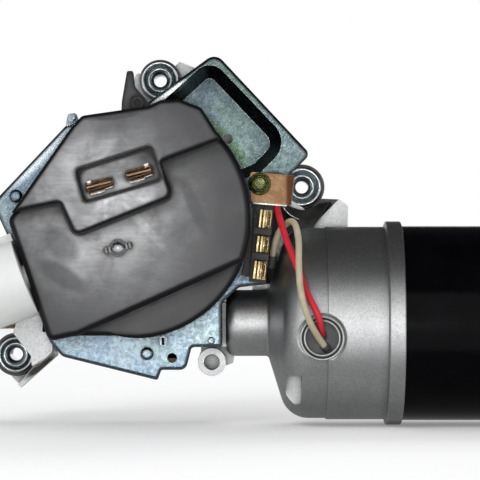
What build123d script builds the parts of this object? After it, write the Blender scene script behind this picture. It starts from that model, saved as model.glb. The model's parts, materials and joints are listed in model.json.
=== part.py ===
from build123d import *
import os
from math import atan, cos, degrees, hypot, pi, radians, sin, sqrt, tan

# Two-speed windscreen-wiper motor with a washer pump on its gearbox cover.
#
# Drawn on the bench and stood up at the end: on the bench x runs along the electric motor, y across it,
# and z is the height above the bulkhead face that the mounting sleeves rest on. The origin is where the
# output shaft's axis meets that face. STAND turns the bench's z to the vehicle's -Y and its y to +Z.
STAND = Rotation(90, 0, 0)

# ---------------------------------------------------------------- fits
running_gap = 0.03        # radial, shaft in bush
sliding_gap = 0.04        # radial, piston and slide guides
clear_gap = 0.2           # radial, screws and rivets in their holes
side_gap = 0.3            # between a turning piece and its neighbour
part_gap = 0.3            # between pieces that only stand side by side

# ---------------------------------------------------------------- gearbox heights
sleeve_length = 18.0
lug_floor = 5.0
lug_top = 15.0
tray_back = 6.0
tray_floor = 10.0
tray_wall = 3.0
cover_top = 54.0
cover_sheet = 1.2
cover_bend = 1.4
gasket_thickness = 0.6
lip_depth = 4.0
lip_gap = 0.3
tray_rim = cover_top - cover_sheet - gasket_thickness

# ---------------------------------------------------------------- electric motor, along x
armature_y = -39.5
armature_height = 42.0
shaft_radius = 4.0
neck_radius = 12.95
neck_start = 29.5
neck_round = 4.0
bell_start = 46.1
bell_shoulder = 53.7
bell_radius = 37.2
bell_round = 11.0
bell_wall = 3.0
seam_x = 68.5
bell_step = 0.5
rim_start = 91.2
rim_end = 97.8
rim_radius = 39.8
spigot_length = 4.5
can_radius = 38.0
can_wall = 1.6
can_length = 97.0
can_round = 7.0
can_end = rim_end + can_length
rear_boss_radius = 11.5
rear_boss_length = 7.0
core_start = 122.0
core_length = 40.0
core_radius = 22.0
core_slots = 12
commutator_start = 76.0
commutator_length = 16.0
commutator_radius = 11.0
commutator_bars = 12
card_x = 88.0
card_thickness = 2.0
front_bush_start = 33.0
front_bush_length = 12.0
bush_wall = 3.0
tip_bush_length = 5.0
rear_bush_length = 9.0
pole_gap = 0.8
tie_radius = 2.4
tie_circle = 31.0

# ---------------------------------------------------------------- gear train
worm_module = 1.0
worm_starts = 3
worm_pitch_radius = 4.5
worm_length = 18.0
wheel_teeth = 36
wheel_width = 8.0
wheel_y = -17.0
pinion_module = 1.25
pinion_teeth = 11
output_teeth = 36
output_width = 9.0
pinion_hub_length = 2.0
pinion_extra = 1.0
output_low = armature_height - wheel_width / 2 - pinion_hub_length - pinion_extra - output_width
washer_thickness = 1.0
boss_top = output_low - washer_thickness - side_gap
pinion_low = output_low - 1.7
wheel_low = armature_height - wheel_width / 2
output_radius = 5.0
boss_radius = 13.0
neck_web_top = 24.0
boss_drop = 9.0
output_bush_wall = 2.5
intermediate_radius = 3.0
wheel_pitch_radius = worm_module * wheel_teeth / 2
mesh_distance = pinion_module * (pinion_teeth + output_teeth) / 2
wheel_x = -sqrt(mesh_distance ** 2 - wheel_y ** 2)

tip_bush_end = -36.0
tip_end = -41.5
worm_phase = 106.0
wheel_phase = 5.0
pinion_phase = 4.0
crank_drop = 17.0
crank_sheet = 5.0
crank_length = 45.0
crank_angle = 62.0
ball_radius = 6.0
brush_angles = (0, 120, 240)

# ---------------------------------------------------------------- mounting eyes (x, y)
top_eye = (2.9, 57.2)
right_eye = (59.9, 14.3)
left_eye = (-55.1, -53.0)
eye_radius = 8.4
sleeve_flange_radius = 6.5
sleeve_outer_radius = 4.9
bolt_bore_radius = 2.9
bolt_bore_length = 14.0
sleeve_mouth_radius = 3.9
grommet_radius = 7.3

# ---------------------------------------------------------------- washer pump
pump_turn = 21.0
pump_offset = -3.0
pump_height = 69.0
pump_cover_wall = 2.2
ledge_top = 70.0
face_top = 76.0
plateau_top = 83.0
pocket_depth = 8.0
ledge_edge = 2.0
face_edge = 2.5
plateau_edge = 1.5
spigot_radius = 4.6
pump_body_radius = 14.9
pump_body_front = -51.2
pump_body_end = -81.7
cap_length = 8.0
pump_bore_radius = 10.0
rod_radius = 2.0
frame_sheet = 1.6
cam_root = 6.0
cam_lobe = 8.0
cam_low = 57.0
cam_high = 62.0
cam_neck_radius = 5.4
stud_u = -14.0
stud_v = -5.3
stud_radius = 2.0
clip_sheet = 0.6
ratchet_radius = 8.5
ratchet_teeth = 21
ratchet_low = 67.0
slide_low = 64.2
slide_sheet = 2.2
relay_u = 21.0
relay_v = -4.0
relay_radius = 8.0
relay_height = 10.0
relay_core_radius = 3.0
relay_gap_high = 68.2
pump_screw_radius = 1.5
nozzle_radius = 2.5
nozzle_length = 8.0
nozzle_tip = 24.0
nozzle_pitch = 7.0
pocket_turn = 14.0
ear_pin = (-4.3, 45.6)
blade_places = [(-18.2, 13.9), (-3.2, 18.4)]

# ---------------------------------------------------------------- wiring
lead_radius = 1.25
bore_x = 66.0
bore_y = -44.0
bore_radius = 6.4
bore_ring_radius = 8.4
bore_ring_top = armature_height + bell_radius + 0.8
bore_seat_radius = 9.5
bore_seat = armature_height + bell_radius - 1.8
window_floor = armature_height + 18.0
plug_depth = 4.0
plug_recess = 3.3
board_turn = 6.2
board_x = 43.3
board_y = -8.4
board_width = 6.6
board_top = 58.0
blade_high = 65.5
strap_sheet = 1.0
board_head = 5.5
strap_height = cover_top + board_head + strap_sheet
strap_end = cover_top - 0.5
screw_x = 42.9
screw_y = 14.6
ground_screw_radius = 2.0
red_route = [(48.9, 6.7, 57.6), (50.1, 1.6, 63.0), (51.6, -3.6, 68.6), (53.4, -9.0, 71.6),
             (55.6, -14.6, 74.4), (57.8, -20.6, 77.2), (60.4, -27.6, 80.0), (64.4, -34.8, 83.0),
             (65.7, -40.4, 81.2), (66.0, -42.8, 77.6)]
white_route = [(47.5, -13.2, 56.6), (48.3, -7.8, 57.8), (50.6, -2.4, 59.6), (55.6, 1.4, 65.6),
               (57.4, -6.4, 75.2), (57.1, -14.6, 80.8), (57.4, -24.4, 83.8), (59.4, -33.2, 84.6),
               (62.8, -41.4, 82.2), (66.9, -47.0, 78.2)]


# ================================================================ drawing helpers
def rounded(corners):
    """A face through the corners (x, y, radius), each rounded to its radius."""
    count = len(corners)
    starts, middles, ends = [], [], []
    for index, (x, y, radius) in enumerate(corners):
        corner = Vector(x, y)
        before = (Vector(*corners[index - 1][:2]) - corner).normalized()
        after = (Vector(*corners[(index + 1) % count][:2]) - corner).normalized()
        half = radians(before.get_angle(after)) / 2
        run = radius / tan(half)
        bisector = (before + after).normalized() if radius else Vector(0, 0)
        starts.append(corner + before * run)
        middles.append(corner + bisector * (radius / sin(half) - radius))
        ends.append(corner + after * run)
    edges = []
    for index in range(count):
        if corners[index][2]:
            edges.append(ThreePointArc(starts[index], middles[index], ends[index]))
        following = starts[(index + 1) % count]
        if (following - ends[index]).length > 1e-4:
            edges.append(Line(ends[index], following))
    return make_face(edges)


def slab(face, low, high):
    """The face, which lies at z = 0, thickened from low to high."""
    return Pos(0, 0, low) * extrude(face, high - low, dir=(0, 0, 1))


def inset(face, distance):
    """The face drawn in by the distance, with its corners kept."""
    return offset(face, -distance, kind=Kind.INTERSECTION)


def post(x, y, low, high, radius):
    """An upright cylinder."""
    return Pos(x, y, low) * Cylinder(radius, high - low, align=(Align.CENTER, Align.CENTER, Align.MIN))


def ring(x, y, low, high, radius, bore):
    """An upright tube."""
    return post(x, y, low, high, radius) - post(x, y, low, high, bore)


def block(x0, x1, y0, y1, z0, z1):
    """A box between two corners."""
    return Pos(x0, y0, z0) * Box(x1 - x0, y1 - y0, z1 - z0, align=(Align.MIN, Align.MIN, Align.MIN))


def on_motor(shape):
    """Move a shape from the x axis to the armature's axis."""
    return Pos(0, armature_y, armature_height) * shape


def bar(start, end, radius):
    """A cylinder along the x axis."""
    return Pos(start, 0, 0) * Rot(0, 90, 0) * Cylinder(
        radius, end - start, align=(Align.CENTER, Align.CENTER, Align.MIN))


def turned(corners):
    """A solid turned about the x axis from its half section, corners (x, radius, rounding)."""
    return revolve(rounded(corners), Axis.X, 360)


def on_pump(shape):
    """Turn a shape from the pump's own u and v directions to the bench."""
    return Rot(0, 0, pump_turn) * shape


def pump_point(u, v):
    """The bench x and y of a point given in the pump's directions."""
    turn = radians(pump_turn)
    return u * cos(turn) - v * sin(turn), u * sin(turn) + v * cos(turn)


def gear_face(teeth, module, thin=0.06, bore=0.0):
    """The outline of a spur gear: root arcs, curved flanks and tip arcs."""
    pitch = module * teeth / 2
    tip = pitch + 0.95 * module
    root = pitch - 1.2 * module
    step = 2 * pi / teeth
    half_pitch = step / 4 - thin / pitch
    half_tip = half_pitch - 0.95 * tan(radians(24)) * module / tip
    half_root = half_pitch + 0.95 * tan(radians(13)) * module / root

    def at(radius, angle):
        return (radius * cos(angle), radius * sin(angle))

    edges = []
    for tooth in range(teeth):
        middle = tooth * step
        edges.append(ThreePointArc(at(root, middle - half_root), at(pitch, middle - half_pitch),
                                   at(tip, middle - half_tip)))
        edges.append(ThreePointArc(at(tip, middle - half_tip), at(tip, middle),
                                   at(tip, middle + half_tip)))
        edges.append(ThreePointArc(at(tip, middle + half_tip), at(pitch, middle + half_pitch),
                                   at(root, middle + half_root)))
        edges.append(ThreePointArc(at(root, middle + half_root), at(root, middle + step / 2),
                                   at(root, middle + step - half_root)))
    face = make_face(edges)
    return face - Circle(bore) if bore else face


def cord(points, radius, name):
    """A round lead along straight runs joined by tangent arcs."""
    places = [Vector(*point) for point in points]
    edges = []
    here = places[0]
    for index in range(1, len(places) - 1):
        corner = places[index]
        back = places[index - 1] - corner
        on = places[index + 1] - corner
        turn = pi - radians(back.get_angle(on))
        reach = 0.45 * min(back.length, on.length)
        bend = reach / tan(turn / 2)
        print(name, "bend", index, "radius", round(bend, 1), "turn", round(degrees(turn)))
        back, on = back.normalized(), on.normalized()
        first, last = corner + back * reach, corner + on * reach
        middle = corner + (back + on).normalized() * (hypot(bend, reach) - bend)
        edges.append(Line(here, first))
        edges.append(ThreePointArc(first, middle, last))
        here = last
    edges.append(Line(here, places[-1]))
    path = Wire(edges)
    section = Plane(origin=places[0], z_dir=(places[1] - places[0]).normalized()) * Circle(radius)
    lead = sweep(section, path)
    print(name, "length", round(path.length, 1), "volume ratio",
          round(lead.volume / (pi * radius ** 2 * path.length), 4))
    return lead


# ================================================================ outlines shared by casting and cover
def cover_outline():
    """The pressed cover's outer edge, clockwise from its left corner."""
    return rounded([
        (-61.0, 7.2, 2.0), (-32.4, 37.5, 3.0), (-3.2, 44.6, 3.0), (25.5, 65.6, 4.5), (62.3, 26.3, 2.5),
        (55.1, 18.9, 1.5), (52.4, 8.0, 3.0), (46.4, 3.6, 2.0), (45.9, -24.0, 2.0), (34.6, -25.4, 2.0),
        (28.0, -31.6, 2.0), (28.0, -48.4, 1.0), (16.2, -48.6, 1.5), (14.0, -57.4, 3.0), (4.5, -57.4, 1.0),
        (3.0, -61.4, 0.8), (-34.0, -52.2, 4.0), (-38.8, -46.4, 2.0), (-54.6, -6.6, 3.0)])


def tray_outline():
    """The casting's rim, which fits inside the cover's turned-down lip."""
    return inset(cover_outline(), cover_sheet + lip_gap)


def recess_rim():
    """The mouth of the cover's deep-drawn recess."""
    return rounded([(23.5, 63.5, 7.0), (54.6, 30.8, 9.0), (43.0, 19.2, 2.5), (31.0, 14.1, 3.0),
                    (-1.0, 41.1, 5.0)])


recess_depth = 12.0
recess_draft = 20.0


def recess_shape(grown):
    """The recess as a solid, grown outward from the pressed sheet's inner face."""
    mouth = offset(recess_rim(), grown, kind=Kind.ARC) if grown else recess_rim()
    return extrude(Pos(0, 0, cover_top) * mouth, recess_depth + grown, dir=(0, 0, -1), taper=recess_draft)


rivet_places = [(-51.8, 10.0), (-1.0, -51.0), (-10.0, 36.4)]
rivet_radius = 1.9
rivet_head_radius = 2.5
rivet_shank = 6.0
boss_place = (24.0, -54.7)
boss_hole_radius = 3.1
boss_hole_depth = 12.0
locating_hole = (8.7, -52.7)
drain_hole = (30.3, 32.6)
dimple_place = (23.8, -46.0)
pump_screw_places = [(-38.0, 4.0), (-2.0, 32.0), (17.0, -24.0)]


# ================================================================ gear housing casting
def mounting_eyes():
    """The three cast eyes, solid; their bores are cut afterwards."""
    eyes = [post(x, y, lug_floor, lug_top, eye_radius) for x, y in (top_eye, right_eye, left_eye)]
    top_web = slab(rounded([(-8.2, 53.5, 1.5), (-7.0, 60.8, 1.5), (3, 57, 0), (10.5, 65.0, 1.0),
                            (18.0, 62.0, 2.0), (22.0, 52.0, 1.0), (0.0, 38.0, 1.0)]),
                   tray_back, lug_top - 3)
    right_web = slab(rounded([(45, 20.0, 1.0), (56, 22.0, 1.0), (62.5, 14.0, 1.0), (66.5, 9.8, 1.0),
                              (61, -6, 1.0), (45, 2, 1.0)]), tray_back, lug_top - 2)
    left_web = slab(rounded([(-55.5, -44.0, 2.0), (-44.0, -34.0, 1.0), (-36.0, -50.0, 1.0),
                             (-53.8, -65.6, 1.6), (-59.0, -60.0, 2.0)]), tray_back, lug_top - 3)
    return eyes + [top_web, right_web, left_web]


def eye_cut(place):
    """The bore for grommet and sleeve through an eye, with room above it for the bolt's head."""
    x, y = place
    return (post(x, y, lug_floor - 1, lug_top + 1, grommet_radius)
            + post(x, y, lug_top, lug_top + 30, sleeve_flange_radius + part_gap))


def bell_gusset():
    """The sloping web between the right-hand eye and the bell."""
    foot = slab(rounded([(60.5, 3.0, 1.0), (67.5, 9.6, 1.0), (74.6, 9.2, 1.5), (78.0, 7.0, 1.5),
                         (78.0, -14.0, 1.0), (60.5, -14.0, 1.0)]), tray_back + 1, 24)
    slope = Pos(74.5, 9.4, 24) * Rot(0, 0, -44) * Rot(0, -38, 0) * Box(
        60, 80, 30, align=(Align.MAX, Align.CENTER, Align.MIN))
    return foot - slope


def thrust_block():
    """The flat-topped block at the armature's left end, with a drafted web down to the lower eye."""
    top = armature_height + 5
    head = rounded([(-51.4, -37.0, 1.0), (-53.6, -43.2, 1.0), (-46.4, -52.4, 1.5), (-46.3, -58.6, 1.5),
                    (-38.2, -50.6, 1.5), (-38.2, -30.0, 1.0), (-45.0, -30.0, 1.0)])
    block_body = slab(head, tray_back, top)
    web = slab(rounded([(-47.4, -57.0, 0), (-53.8, -65.0, 0), (-52.6, -66.0, 0), (-38.6, -53.6, 0.8),
                        (-39.6, -49.0, 0)]), tray_back, lug_top + 6)
    return block_body + web


def bell_outer():
    """Neck, bell and rim, as turned."""
    spigot = can_radius - can_wall - running_gap
    return turned([
        (neck_start, 0, 0), (neck_start, neck_radius, neck_round), (bell_start, neck_radius, 1.5),
        (bell_shoulder, bell_radius, bell_round), (seam_x, bell_radius, 0),
        (seam_x, bell_radius + bell_step, 0), (rim_start, bell_radius + bell_step, 0),
        (rim_start + 0.6, rim_radius, 0.5), (rim_end, rim_radius, 0.6), (rim_end, spigot, 0),
        (rim_end + spigot_length, spigot, 0.5), (rim_end + spigot_length, 0, 0)])


def bell_inner():
    """The room inside the bell for brushes and field coils."""
    inner = bell_radius - bell_wall
    return turned([
        (bell_start + bell_wall + 1, 0, 0), (bell_start + bell_wall + 1, 10.0, 2.0),
        (bell_shoulder + bell_wall, inner, bell_round - bell_wall),
        (rim_end + spigot_length + 1, inner, 0), (rim_end + spigot_length + 1, 0, 0)])


def wire_boss():
    """The raised seat around the bell's wire bore."""
    return post(bore_x, bore_y, armature_height + 20, bore_ring_top, bore_ring_radius)


def gear_housing():
    """One casting: tray, output boss, three eyes, thrust block, neck and bell."""
    outer = tray_outline()
    cavity = slab(inset(outer, tray_wall), tray_floor, tray_rim + 1)
    casting = slab(outer, tray_back, tray_rim)
    for piece in mounting_eyes():
        casting = casting + piece
    bell = on_motor(bell_outer()) - post(bore_x, bore_y, bore_seat, 99, bore_seat_radius)
    casting = casting + thrust_block() + bell_gusset() + bell + wire_boss()
    casting = casting + slab(rounded([(40, -30, 0), (66, -30, 0), (66, 2, 0), (56, 8.5, 1.0),
                                      (48, 6.5, 1.0), (40, 6.5, 0)]), tray_back, neck_web_top)
    casting = casting + post(0, 0, -boss_drop, tray_floor, boss_radius)
    casting = casting + post(*boss_place, tray_back, armature_height + 3, 5.5)
    casting = casting + slab(rounded([(19.5, -45, 0), (33, -45, 0), (32.5, -55.5, 1.5),
                                      (26.5, -57.5, 1.5), (19.6, -53, 1.5)]),
                             tray_back, armature_height - 6)
    casting = casting + block(22.0, 31.0, armature_y - 9, armature_y + 8, tray_back + 12,
                              tray_rim - lip_depth - 0.5)
    keep = post(0, 0, tray_floor - 1, boss_top, boss_radius - 3)
    keep = keep + post(wheel_x, wheel_y, tray_floor - 1, pinion_low - side_gap, 7.0)
    keep = keep + post(screw_x, screw_y, tray_floor - 1, tray_rim, 4.5)
    for x, y in rivet_places:
        keep = keep + post(x, y, tray_floor - 1, tray_rim, rivet_head_radius + 1.6)
    casting = casting - (cavity - keep)
    casting = casting - on_motor(bell_inner())
    casting = casting - on_motor(bar(neck_start - 10, bell_start + 6, shaft_radius + 0.8))
    casting = casting - on_motor(bar(front_bush_start, front_bush_start + front_bush_length + 10,
                                     shaft_radius + bush_wall))
    casting = casting - on_motor(bar(-60, -30, 2.6))
    casting = casting - on_motor(bar(tip_bush_end - tip_bush_length - 1, -30, shaft_radius + 2.0))
    casting = casting - post(0, 0, -boss_drop - 1, boss_top + 1, output_radius + output_bush_wall)
    casting = casting - post(wheel_x, wheel_y, tray_floor - 1, output_low, intermediate_radius)
    for place in (top_eye, right_eye, left_eye):
        casting = casting - eye_cut(place)
    for x, y in rivet_places:
        casting = casting - post(x, y, cover_top - rivet_shank - 1, tray_rim + 1, rivet_radius)
    casting = casting - post(screw_x, screw_y, tray_rim - 9, tray_rim + 1,
                             ground_screw_radius + clear_gap)
    casting = casting - recess_shape(cover_sheet + part_gap)
    casting = casting - post(*boss_place, armature_height + 3 - boss_hole_depth, armature_height + 4,
                             boss_hole_radius)
    casting = casting - post(bore_x, bore_y, armature_height + 30, bore_ring_top + 1, bore_radius)
    window = block(51.4, 59.9, -71.4, -57.3, window_floor - 10, 99) & on_motor(bell_outer())
    return casting + window - block(52.6, 58.6, -70.2, -58.6, window_floor, 99)


# ================================================================ gearbox cover and its fixings
def gearbox_cover():
    """Zinc-plated pressing: flat plate, turned-down lip and deep-drawn recess."""
    outline = cover_outline()
    lip_low = cover_top - cover_sheet - lip_depth
    plate = slab(outline, lip_low, cover_top)
    plate = fillet(plate.faces().sort_by(Axis.Z)[-1].edges(), cover_bend)
    plate = plate - slab(inset(outline, cover_sheet), lip_low - 1, cover_top - cover_sheet)
    plate = plate + (recess_shape(cover_sheet) - block(-80, 80, -80, 80, cover_top - cover_sheet / 2, 99))
    plate = plate - recess_shape(0)
    plate = plate - post(0, 0, cover_top - 5, cover_top + 1, cam_neck_radius + 1.6)
    for x, y in rivet_places:
        plate = plate - post(x, y, cover_top - 3, cover_top + 1, rivet_radius)
    for u, v in pump_screw_places:
        plate = plate - post(*pump_point(u, v), cover_top - 3, cover_top + 1,
                             pump_screw_radius + clear_gap)
    plate = plate - post(*locating_hole, cover_top - 3, cover_top + 1, 1.9)
    plate = plate - post(*drain_hole, cover_top - recess_depth - 3, cover_top + 1, 1.9)
    dimple = post(*dimple_place, cover_top - 0.1, cover_top + 0.6, 1.4)
    plate = plate + fillet(dimple.edges().sort_by(Axis.Z)[-1], 0.5)
    loop = slab(rounded([(4.0, -48.4, 1.1), (6.5, -48.4, 1.1), (6.5, -44.1, 1.1), (4.0, -44.1, 1.1)]),
                cover_top - 0.1, cover_top + 2.2)
    slot = slab(rounded([(4.7, -47.7, 0.5), (5.8, -47.7, 0.5), (5.8, -44.8, 0.5), (4.7, -44.8, 0.5)]),
                cover_top - 3, cover_top + 3)
    plate = plate + loop - slot
    tab = slab(rounded([(-32.6, 37.0, 0.3), (-31.8, 41.6, 1.4), (-28.4, 42.4, 1.4), (-27.2, 38.6, 0.3)]),
               cover_top - cover_sheet, cover_top)
    plate = plate + tab + post(-30.1, 40.3, cover_top - 0.1, cover_top + 5.5, 1.5)
    plate = plate - post(screw_x, screw_y, cover_top - 3, cover_top + 1, ground_screw_radius + clear_gap)
    return plate


def cover_gasket():
    """The gasket on the casting's rim."""
    gasket = slab(tray_outline(), tray_rim, tray_rim + gasket_thickness)
    gasket = gasket - slab(inset(tray_outline(), tray_wall), tray_rim - 1, tray_rim + 2)
    gasket = gasket - recess_shape(cover_sheet + part_gap)
    for x, y in rivet_places:
        gasket = gasket - post(x, y, tray_rim - 1, tray_rim + 2, rivet_radius + clear_gap)
    return gasket


def cover_rivets():
    """Domed rivets that hold the cover to the casting."""
    rivets = []
    for x, y in rivet_places:
        head = post(x, y, cover_top, cover_top + 1.5, rivet_head_radius)
        head = fillet(head.edges().sort_by(Axis.Z)[-1], 1.2)
        rivets.append(head + post(x, y, cover_top - rivet_shank, cover_top, rivet_radius - 0.1))
    return Compound(rivets)


# ================================================================ mounting hardware
def mounting_sleeves():
    """Three flanged steel sleeves for the mounting bolts, with rolled rims."""
    bore, mouth = bolt_bore_radius, sleeve_mouth_radius
    outer, flange = sleeve_outer_radius, sleeve_flange_radius
    section = make_face(Polyline(
        (bore, 0), (outer, 0), (outer, sleeve_length - 2.8), (flange, sleeve_length - 2.8),
        (flange, sleeve_length), (flange - 0.6, sleeve_length), (flange - 0.8, sleeve_length - 1.9),
        (outer, sleeve_length - 1.9), (outer - 0.2, sleeve_length - 0.3), (mouth, sleeve_length - 0.3),
        (mouth, bolt_bore_length + 1.0), (bore, bolt_bore_length), close=True))
    sleeve = revolve(Plane.XZ * section, Axis.Z, 360)
    return Compound([Pos(x, y, 0) * sleeve for x, y in (top_eye, right_eye, left_eye)])


def mounting_grommets():
    """Three rubber bushes between the eyes and the sleeves."""
    grommets = []
    for x, y in (top_eye, right_eye, left_eye):
        grommets.append(ring(x, y, 1.5, lug_floor, eye_radius, sleeve_outer_radius)
                        + ring(x, y, lug_floor, sleeve_length - 2.8, grommet_radius - 0.02,
                               sleeve_outer_radius))
    return Compound(grommets)


# ================================================================ electric motor
def sector(x0, x1, r0, r1, middle, half):
    """A length of tube wall about the x axis, half degrees to each side of the middle."""
    section = make_face(Polyline((x0, r0), (x1, r0), (x1, r1), (x0, r1), close=True))
    return Rot(middle - half, 0, 0) * revolve(section, Axis.X, 2 * half)


def motor_can():
    """Deep-drawn steel can with its rear bearing cup."""
    inner = can_radius - can_wall
    cup = rear_boss_radius
    outer = turned([
        (rim_end, 0, 0), (rim_end, can_radius, 0), (can_end, can_radius, can_round), (can_end, cup, 1.5),
        (can_end + rear_boss_length, cup, 2.5), (can_end + rear_boss_length, 0, 0)])
    hollow = turned([
        (rim_end - 1, 0, 0), (rim_end - 1, inner, 0), (can_end - can_wall, inner, can_round - can_wall),
        (can_end - can_wall, cup - can_wall, 0),
        (can_end + rear_boss_length - can_wall, cup - can_wall, 0),
        (can_end + rear_boss_length - can_wall, 0, 0)])
    can = outer - hollow
    for side in (1, -1):
        can = can - Pos(0, 0, side * tie_circle) * bar(can_end - 5, can_end + 2, tie_radius + clear_gap)
    return on_motor(can)


def tie_bolts():
    """Two long bolts that clamp the can to the bell, with hexagon heads at the rear."""
    bolts = []
    for side in (1, -1):
        head = Pos(can_end, 0, 0) * Rot(0, 90, 0) * extrude(RegularPolygon(4.0, 6), 3.5, dir=(0, 0, 1))
        bolt = head + bar(rim_end + spigot_length + 1, can_end, tie_radius)
        bolts.append(Pos(0, 0, side * tie_circle) * bolt)
    return on_motor(Compound(bolts))


def pole_shoes():
    """Two laminated pole shoes against the can's wall."""
    inner = core_radius + pole_gap
    shoes = []
    for middle in (0, 180):
        shoes.append(sector(core_start, core_start + core_length, inner, inner + 3.5, middle, 52)
                     + sector(core_start, core_start + core_length, inner + 3.4, can_radius - can_wall,
                              middle, 24))
    return on_motor(Compound(shoes))


def field_coils():
    """Two taped field coils around the poles."""
    inner = core_radius + pole_gap + 3.8
    coils = []
    for middle in (0, 180):
        coil = sector(core_start - 7, core_start + core_length + 7, inner, inner + 6.5, middle, 50)
        coil = coil - sector(core_start - 0.3, core_start + core_length + 0.3, inner - 1, inner + 9,
                             middle, 25)
        coils.append(coil)
    return on_motor(Compound(coils))


def worm_section():
    """Cross-section of the worm: one lobe for each start."""
    lead = pi * worm_module * worm_starts
    tip, root = worm_pitch_radius + 0.9, worm_pitch_radius - 1.15
    flank = tan(radians(20))

    def half_angle(radius):
        thickness = pi * worm_module / 2 - 0.35 - 2 * (radius - worm_pitch_radius) * flank
        return pi * thickness / lead

    def at(radius, angle):
        return (radius * cos(angle), radius * sin(angle))

    edges = []
    step = 2 * pi / worm_starts
    for start in range(worm_starts):
        middle = start * step
        wide, narrow = half_angle(root), half_angle(tip)
        edges.append(ThreePointArc(at(root, middle - wide), at(worm_pitch_radius, middle
                                   - half_angle(worm_pitch_radius)), at(tip, middle - narrow)))
        edges.append(ThreePointArc(at(tip, middle - narrow), at(tip, middle), at(tip, middle + narrow)))
        edges.append(ThreePointArc(at(tip, middle + narrow), at(worm_pitch_radius, middle
                                   + half_angle(worm_pitch_radius)), at(root, middle + wide)))
        edges.append(ThreePointArc(at(root, middle + wide), at(root, middle + step / 2),
                                   at(root, middle + step - wide)))
    return make_face(edges)


def armature_shaft():
    """Armature shaft with the three-start worm cut on its left end."""
    lead = pi * worm_module * worm_starts
    turns = worm_length / lead
    thread = Solid.extrude_linear_with_rotation(
        worm_section().face(), (0, 0, 0), (0, 0, worm_length), 360 * turns)
    thread = Pos(wheel_x - worm_length / 2, 0, 0) * Rot(0, 90, 0) * Rot(0, 0, worm_phase) * thread
    worm_left, worm_right = wheel_x - worm_length / 2, wheel_x + worm_length / 2
    end = can_end + rear_boss_length - can_wall - 1.0
    shaft = bar(tip_end, worm_left - 0.5, shaft_radius) + bar(worm_left - 0.6, worm_left, 3.3)
    shaft = shaft + bar(worm_left, worm_right, 3.3) + bar(worm_right, end, shaft_radius)
    return on_motor(shaft + thread)


def armature_core():
    """Slotted armature stack."""
    slot = Pos(core_radius - 5.2, 0) * Circle(2.5) + Pos(core_radius - 2, 0) * Rectangle(6, 1.8)
    face = Circle(core_radius)
    for index in range(core_slots):
        face = face - Rot(0, 0, index * 360 / core_slots) * slot
    face = face - Circle(shaft_radius)
    stack = extrude(face, core_length, dir=(0, 0, 1))
    return on_motor(Pos(core_start, 0, 0) * Rot(0, 90, 0) * stack)


def armature_windings():
    """Copper windings: bars in the slots and rounded end turns."""
    front = turned([(core_start - 10, shaft_radius + 2.0, 1.5), (core_start - 10, core_radius - 3, 4.0),
                    (core_start, core_radius - 2, 0), (core_start, shaft_radius + 2.0, 0)])
    core_end = core_start + core_length
    rear = turned([(core_end, shaft_radius + 2.0, 0), (core_end, core_radius - 2, 0),
                   (core_end + 9, core_radius - 4, 4.0), (core_end + 9, shaft_radius + 2.0, 1.5)])
    windings = front + rear
    for index in range(core_slots):
        windings = windings + Rot(index * 360 / core_slots, 0, 0) * Pos(0, 0, core_radius - 5.2) * bar(
            core_start - 1, core_end + 1, 2.45)
    return on_motor(windings)


def commutator():
    """Commutator bars with their risers."""
    end = commutator_start + commutator_length
    drum = bar(commutator_start, end, commutator_radius) + bar(end, end + 2, commutator_radius + 1.5)
    drum = drum - bar(commutator_start - 1, end + 3, shaft_radius)
    for index in range(commutator_bars):
        cut = block(commutator_start - 1, end + 3, -0.3, 0.3,
                    commutator_radius - 1.0, commutator_radius + 3)
        drum = drum - Rot(index * 360 / commutator_bars, 0, 0) * cut
    return on_motor(drum)


def front_bushing():
    """Sintered bush in the neck."""
    end = front_bush_start + front_bush_length
    return on_motor(bar(front_bush_start, end, shaft_radius + bush_wall)
                    - bar(front_bush_start - 1, end + 1, shaft_radius + running_gap))


def tip_bushing():
    """Bush for the armature's left end."""
    start = tip_bush_end - tip_bush_length
    return on_motor(bar(start, tip_bush_end, shaft_radius + 2.0)
                    - bar(start - 1, tip_bush_end + 1, shaft_radius + running_gap))


def rear_bushing():
    """Bush in the can's rear cup."""
    end = can_end + rear_boss_length - can_wall
    return on_motor(bar(end - rear_bush_length, end, rear_boss_radius - can_wall)
                    - bar(end - rear_bush_length - 1, end + 1, shaft_radius + running_gap))


def adjusting_screw():
    """End-play screw of the armature, slotted at its outer end."""
    screw = chamfer(bar(-59.0, tip_end - side_gap, 2.4).edges().group_by(Axis.X)[0], 0.5)
    screw = screw - block(-60, -57.6, -3, 3, -0.4, 0.4)
    return on_motor(screw)


# ================================================================ brush gear
def brush_card():
    """Insulating card that carries the brush holders."""
    card = bar(card_x, card_x + card_thickness, bell_radius - bell_wall)
    return on_motor(card - bar(card_x - 1, card_x + 4, commutator_radius + 3))


def brush_parts(maker):
    """One piece for each of the three brushes, at its angle around the commutator."""
    return on_motor(Compound([Rot(angle, 0, 0) * maker() for angle in brush_angles]))


def brush_holders():
    """Brass boxes on the card."""
    def holder():
        outer = block(card_x - 8.0, card_x, -4.0, 4.0, commutator_radius + 3.0, commutator_radius + 17)
        return outer - block(card_x - 7.2, card_x - 0.8, -3.2, 3.2,
                             commutator_radius + 2, commutator_radius + 16.2)
    return brush_parts(holder)


def brushes():
    """Carbon brushes."""
    def brush():
        return block(card_x - 7.1, card_x - 0.9, -3.1, 3.1, commutator_radius + 0.15,
                     commutator_radius + 10.0)
    return brush_parts(brush)


def brush_springs():
    """Springs behind the brushes, drawn as the coil's outer barrel."""
    def spring():
        low, high = commutator_radius + 10.0, commutator_radius + 16.2
        barrel = Pos(card_x - 4.0, 0, low) * Cylinder(2.6, high - low, align=(Align.CENTER, Align.CENTER,
                                                                            Align.MIN))
        return barrel - Pos(card_x - 4.0, 0, low - 1) * Cylinder(1.9, 20, align=(
            Align.CENTER, Align.CENTER, Align.MIN))
    return brush_parts(spring)


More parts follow.
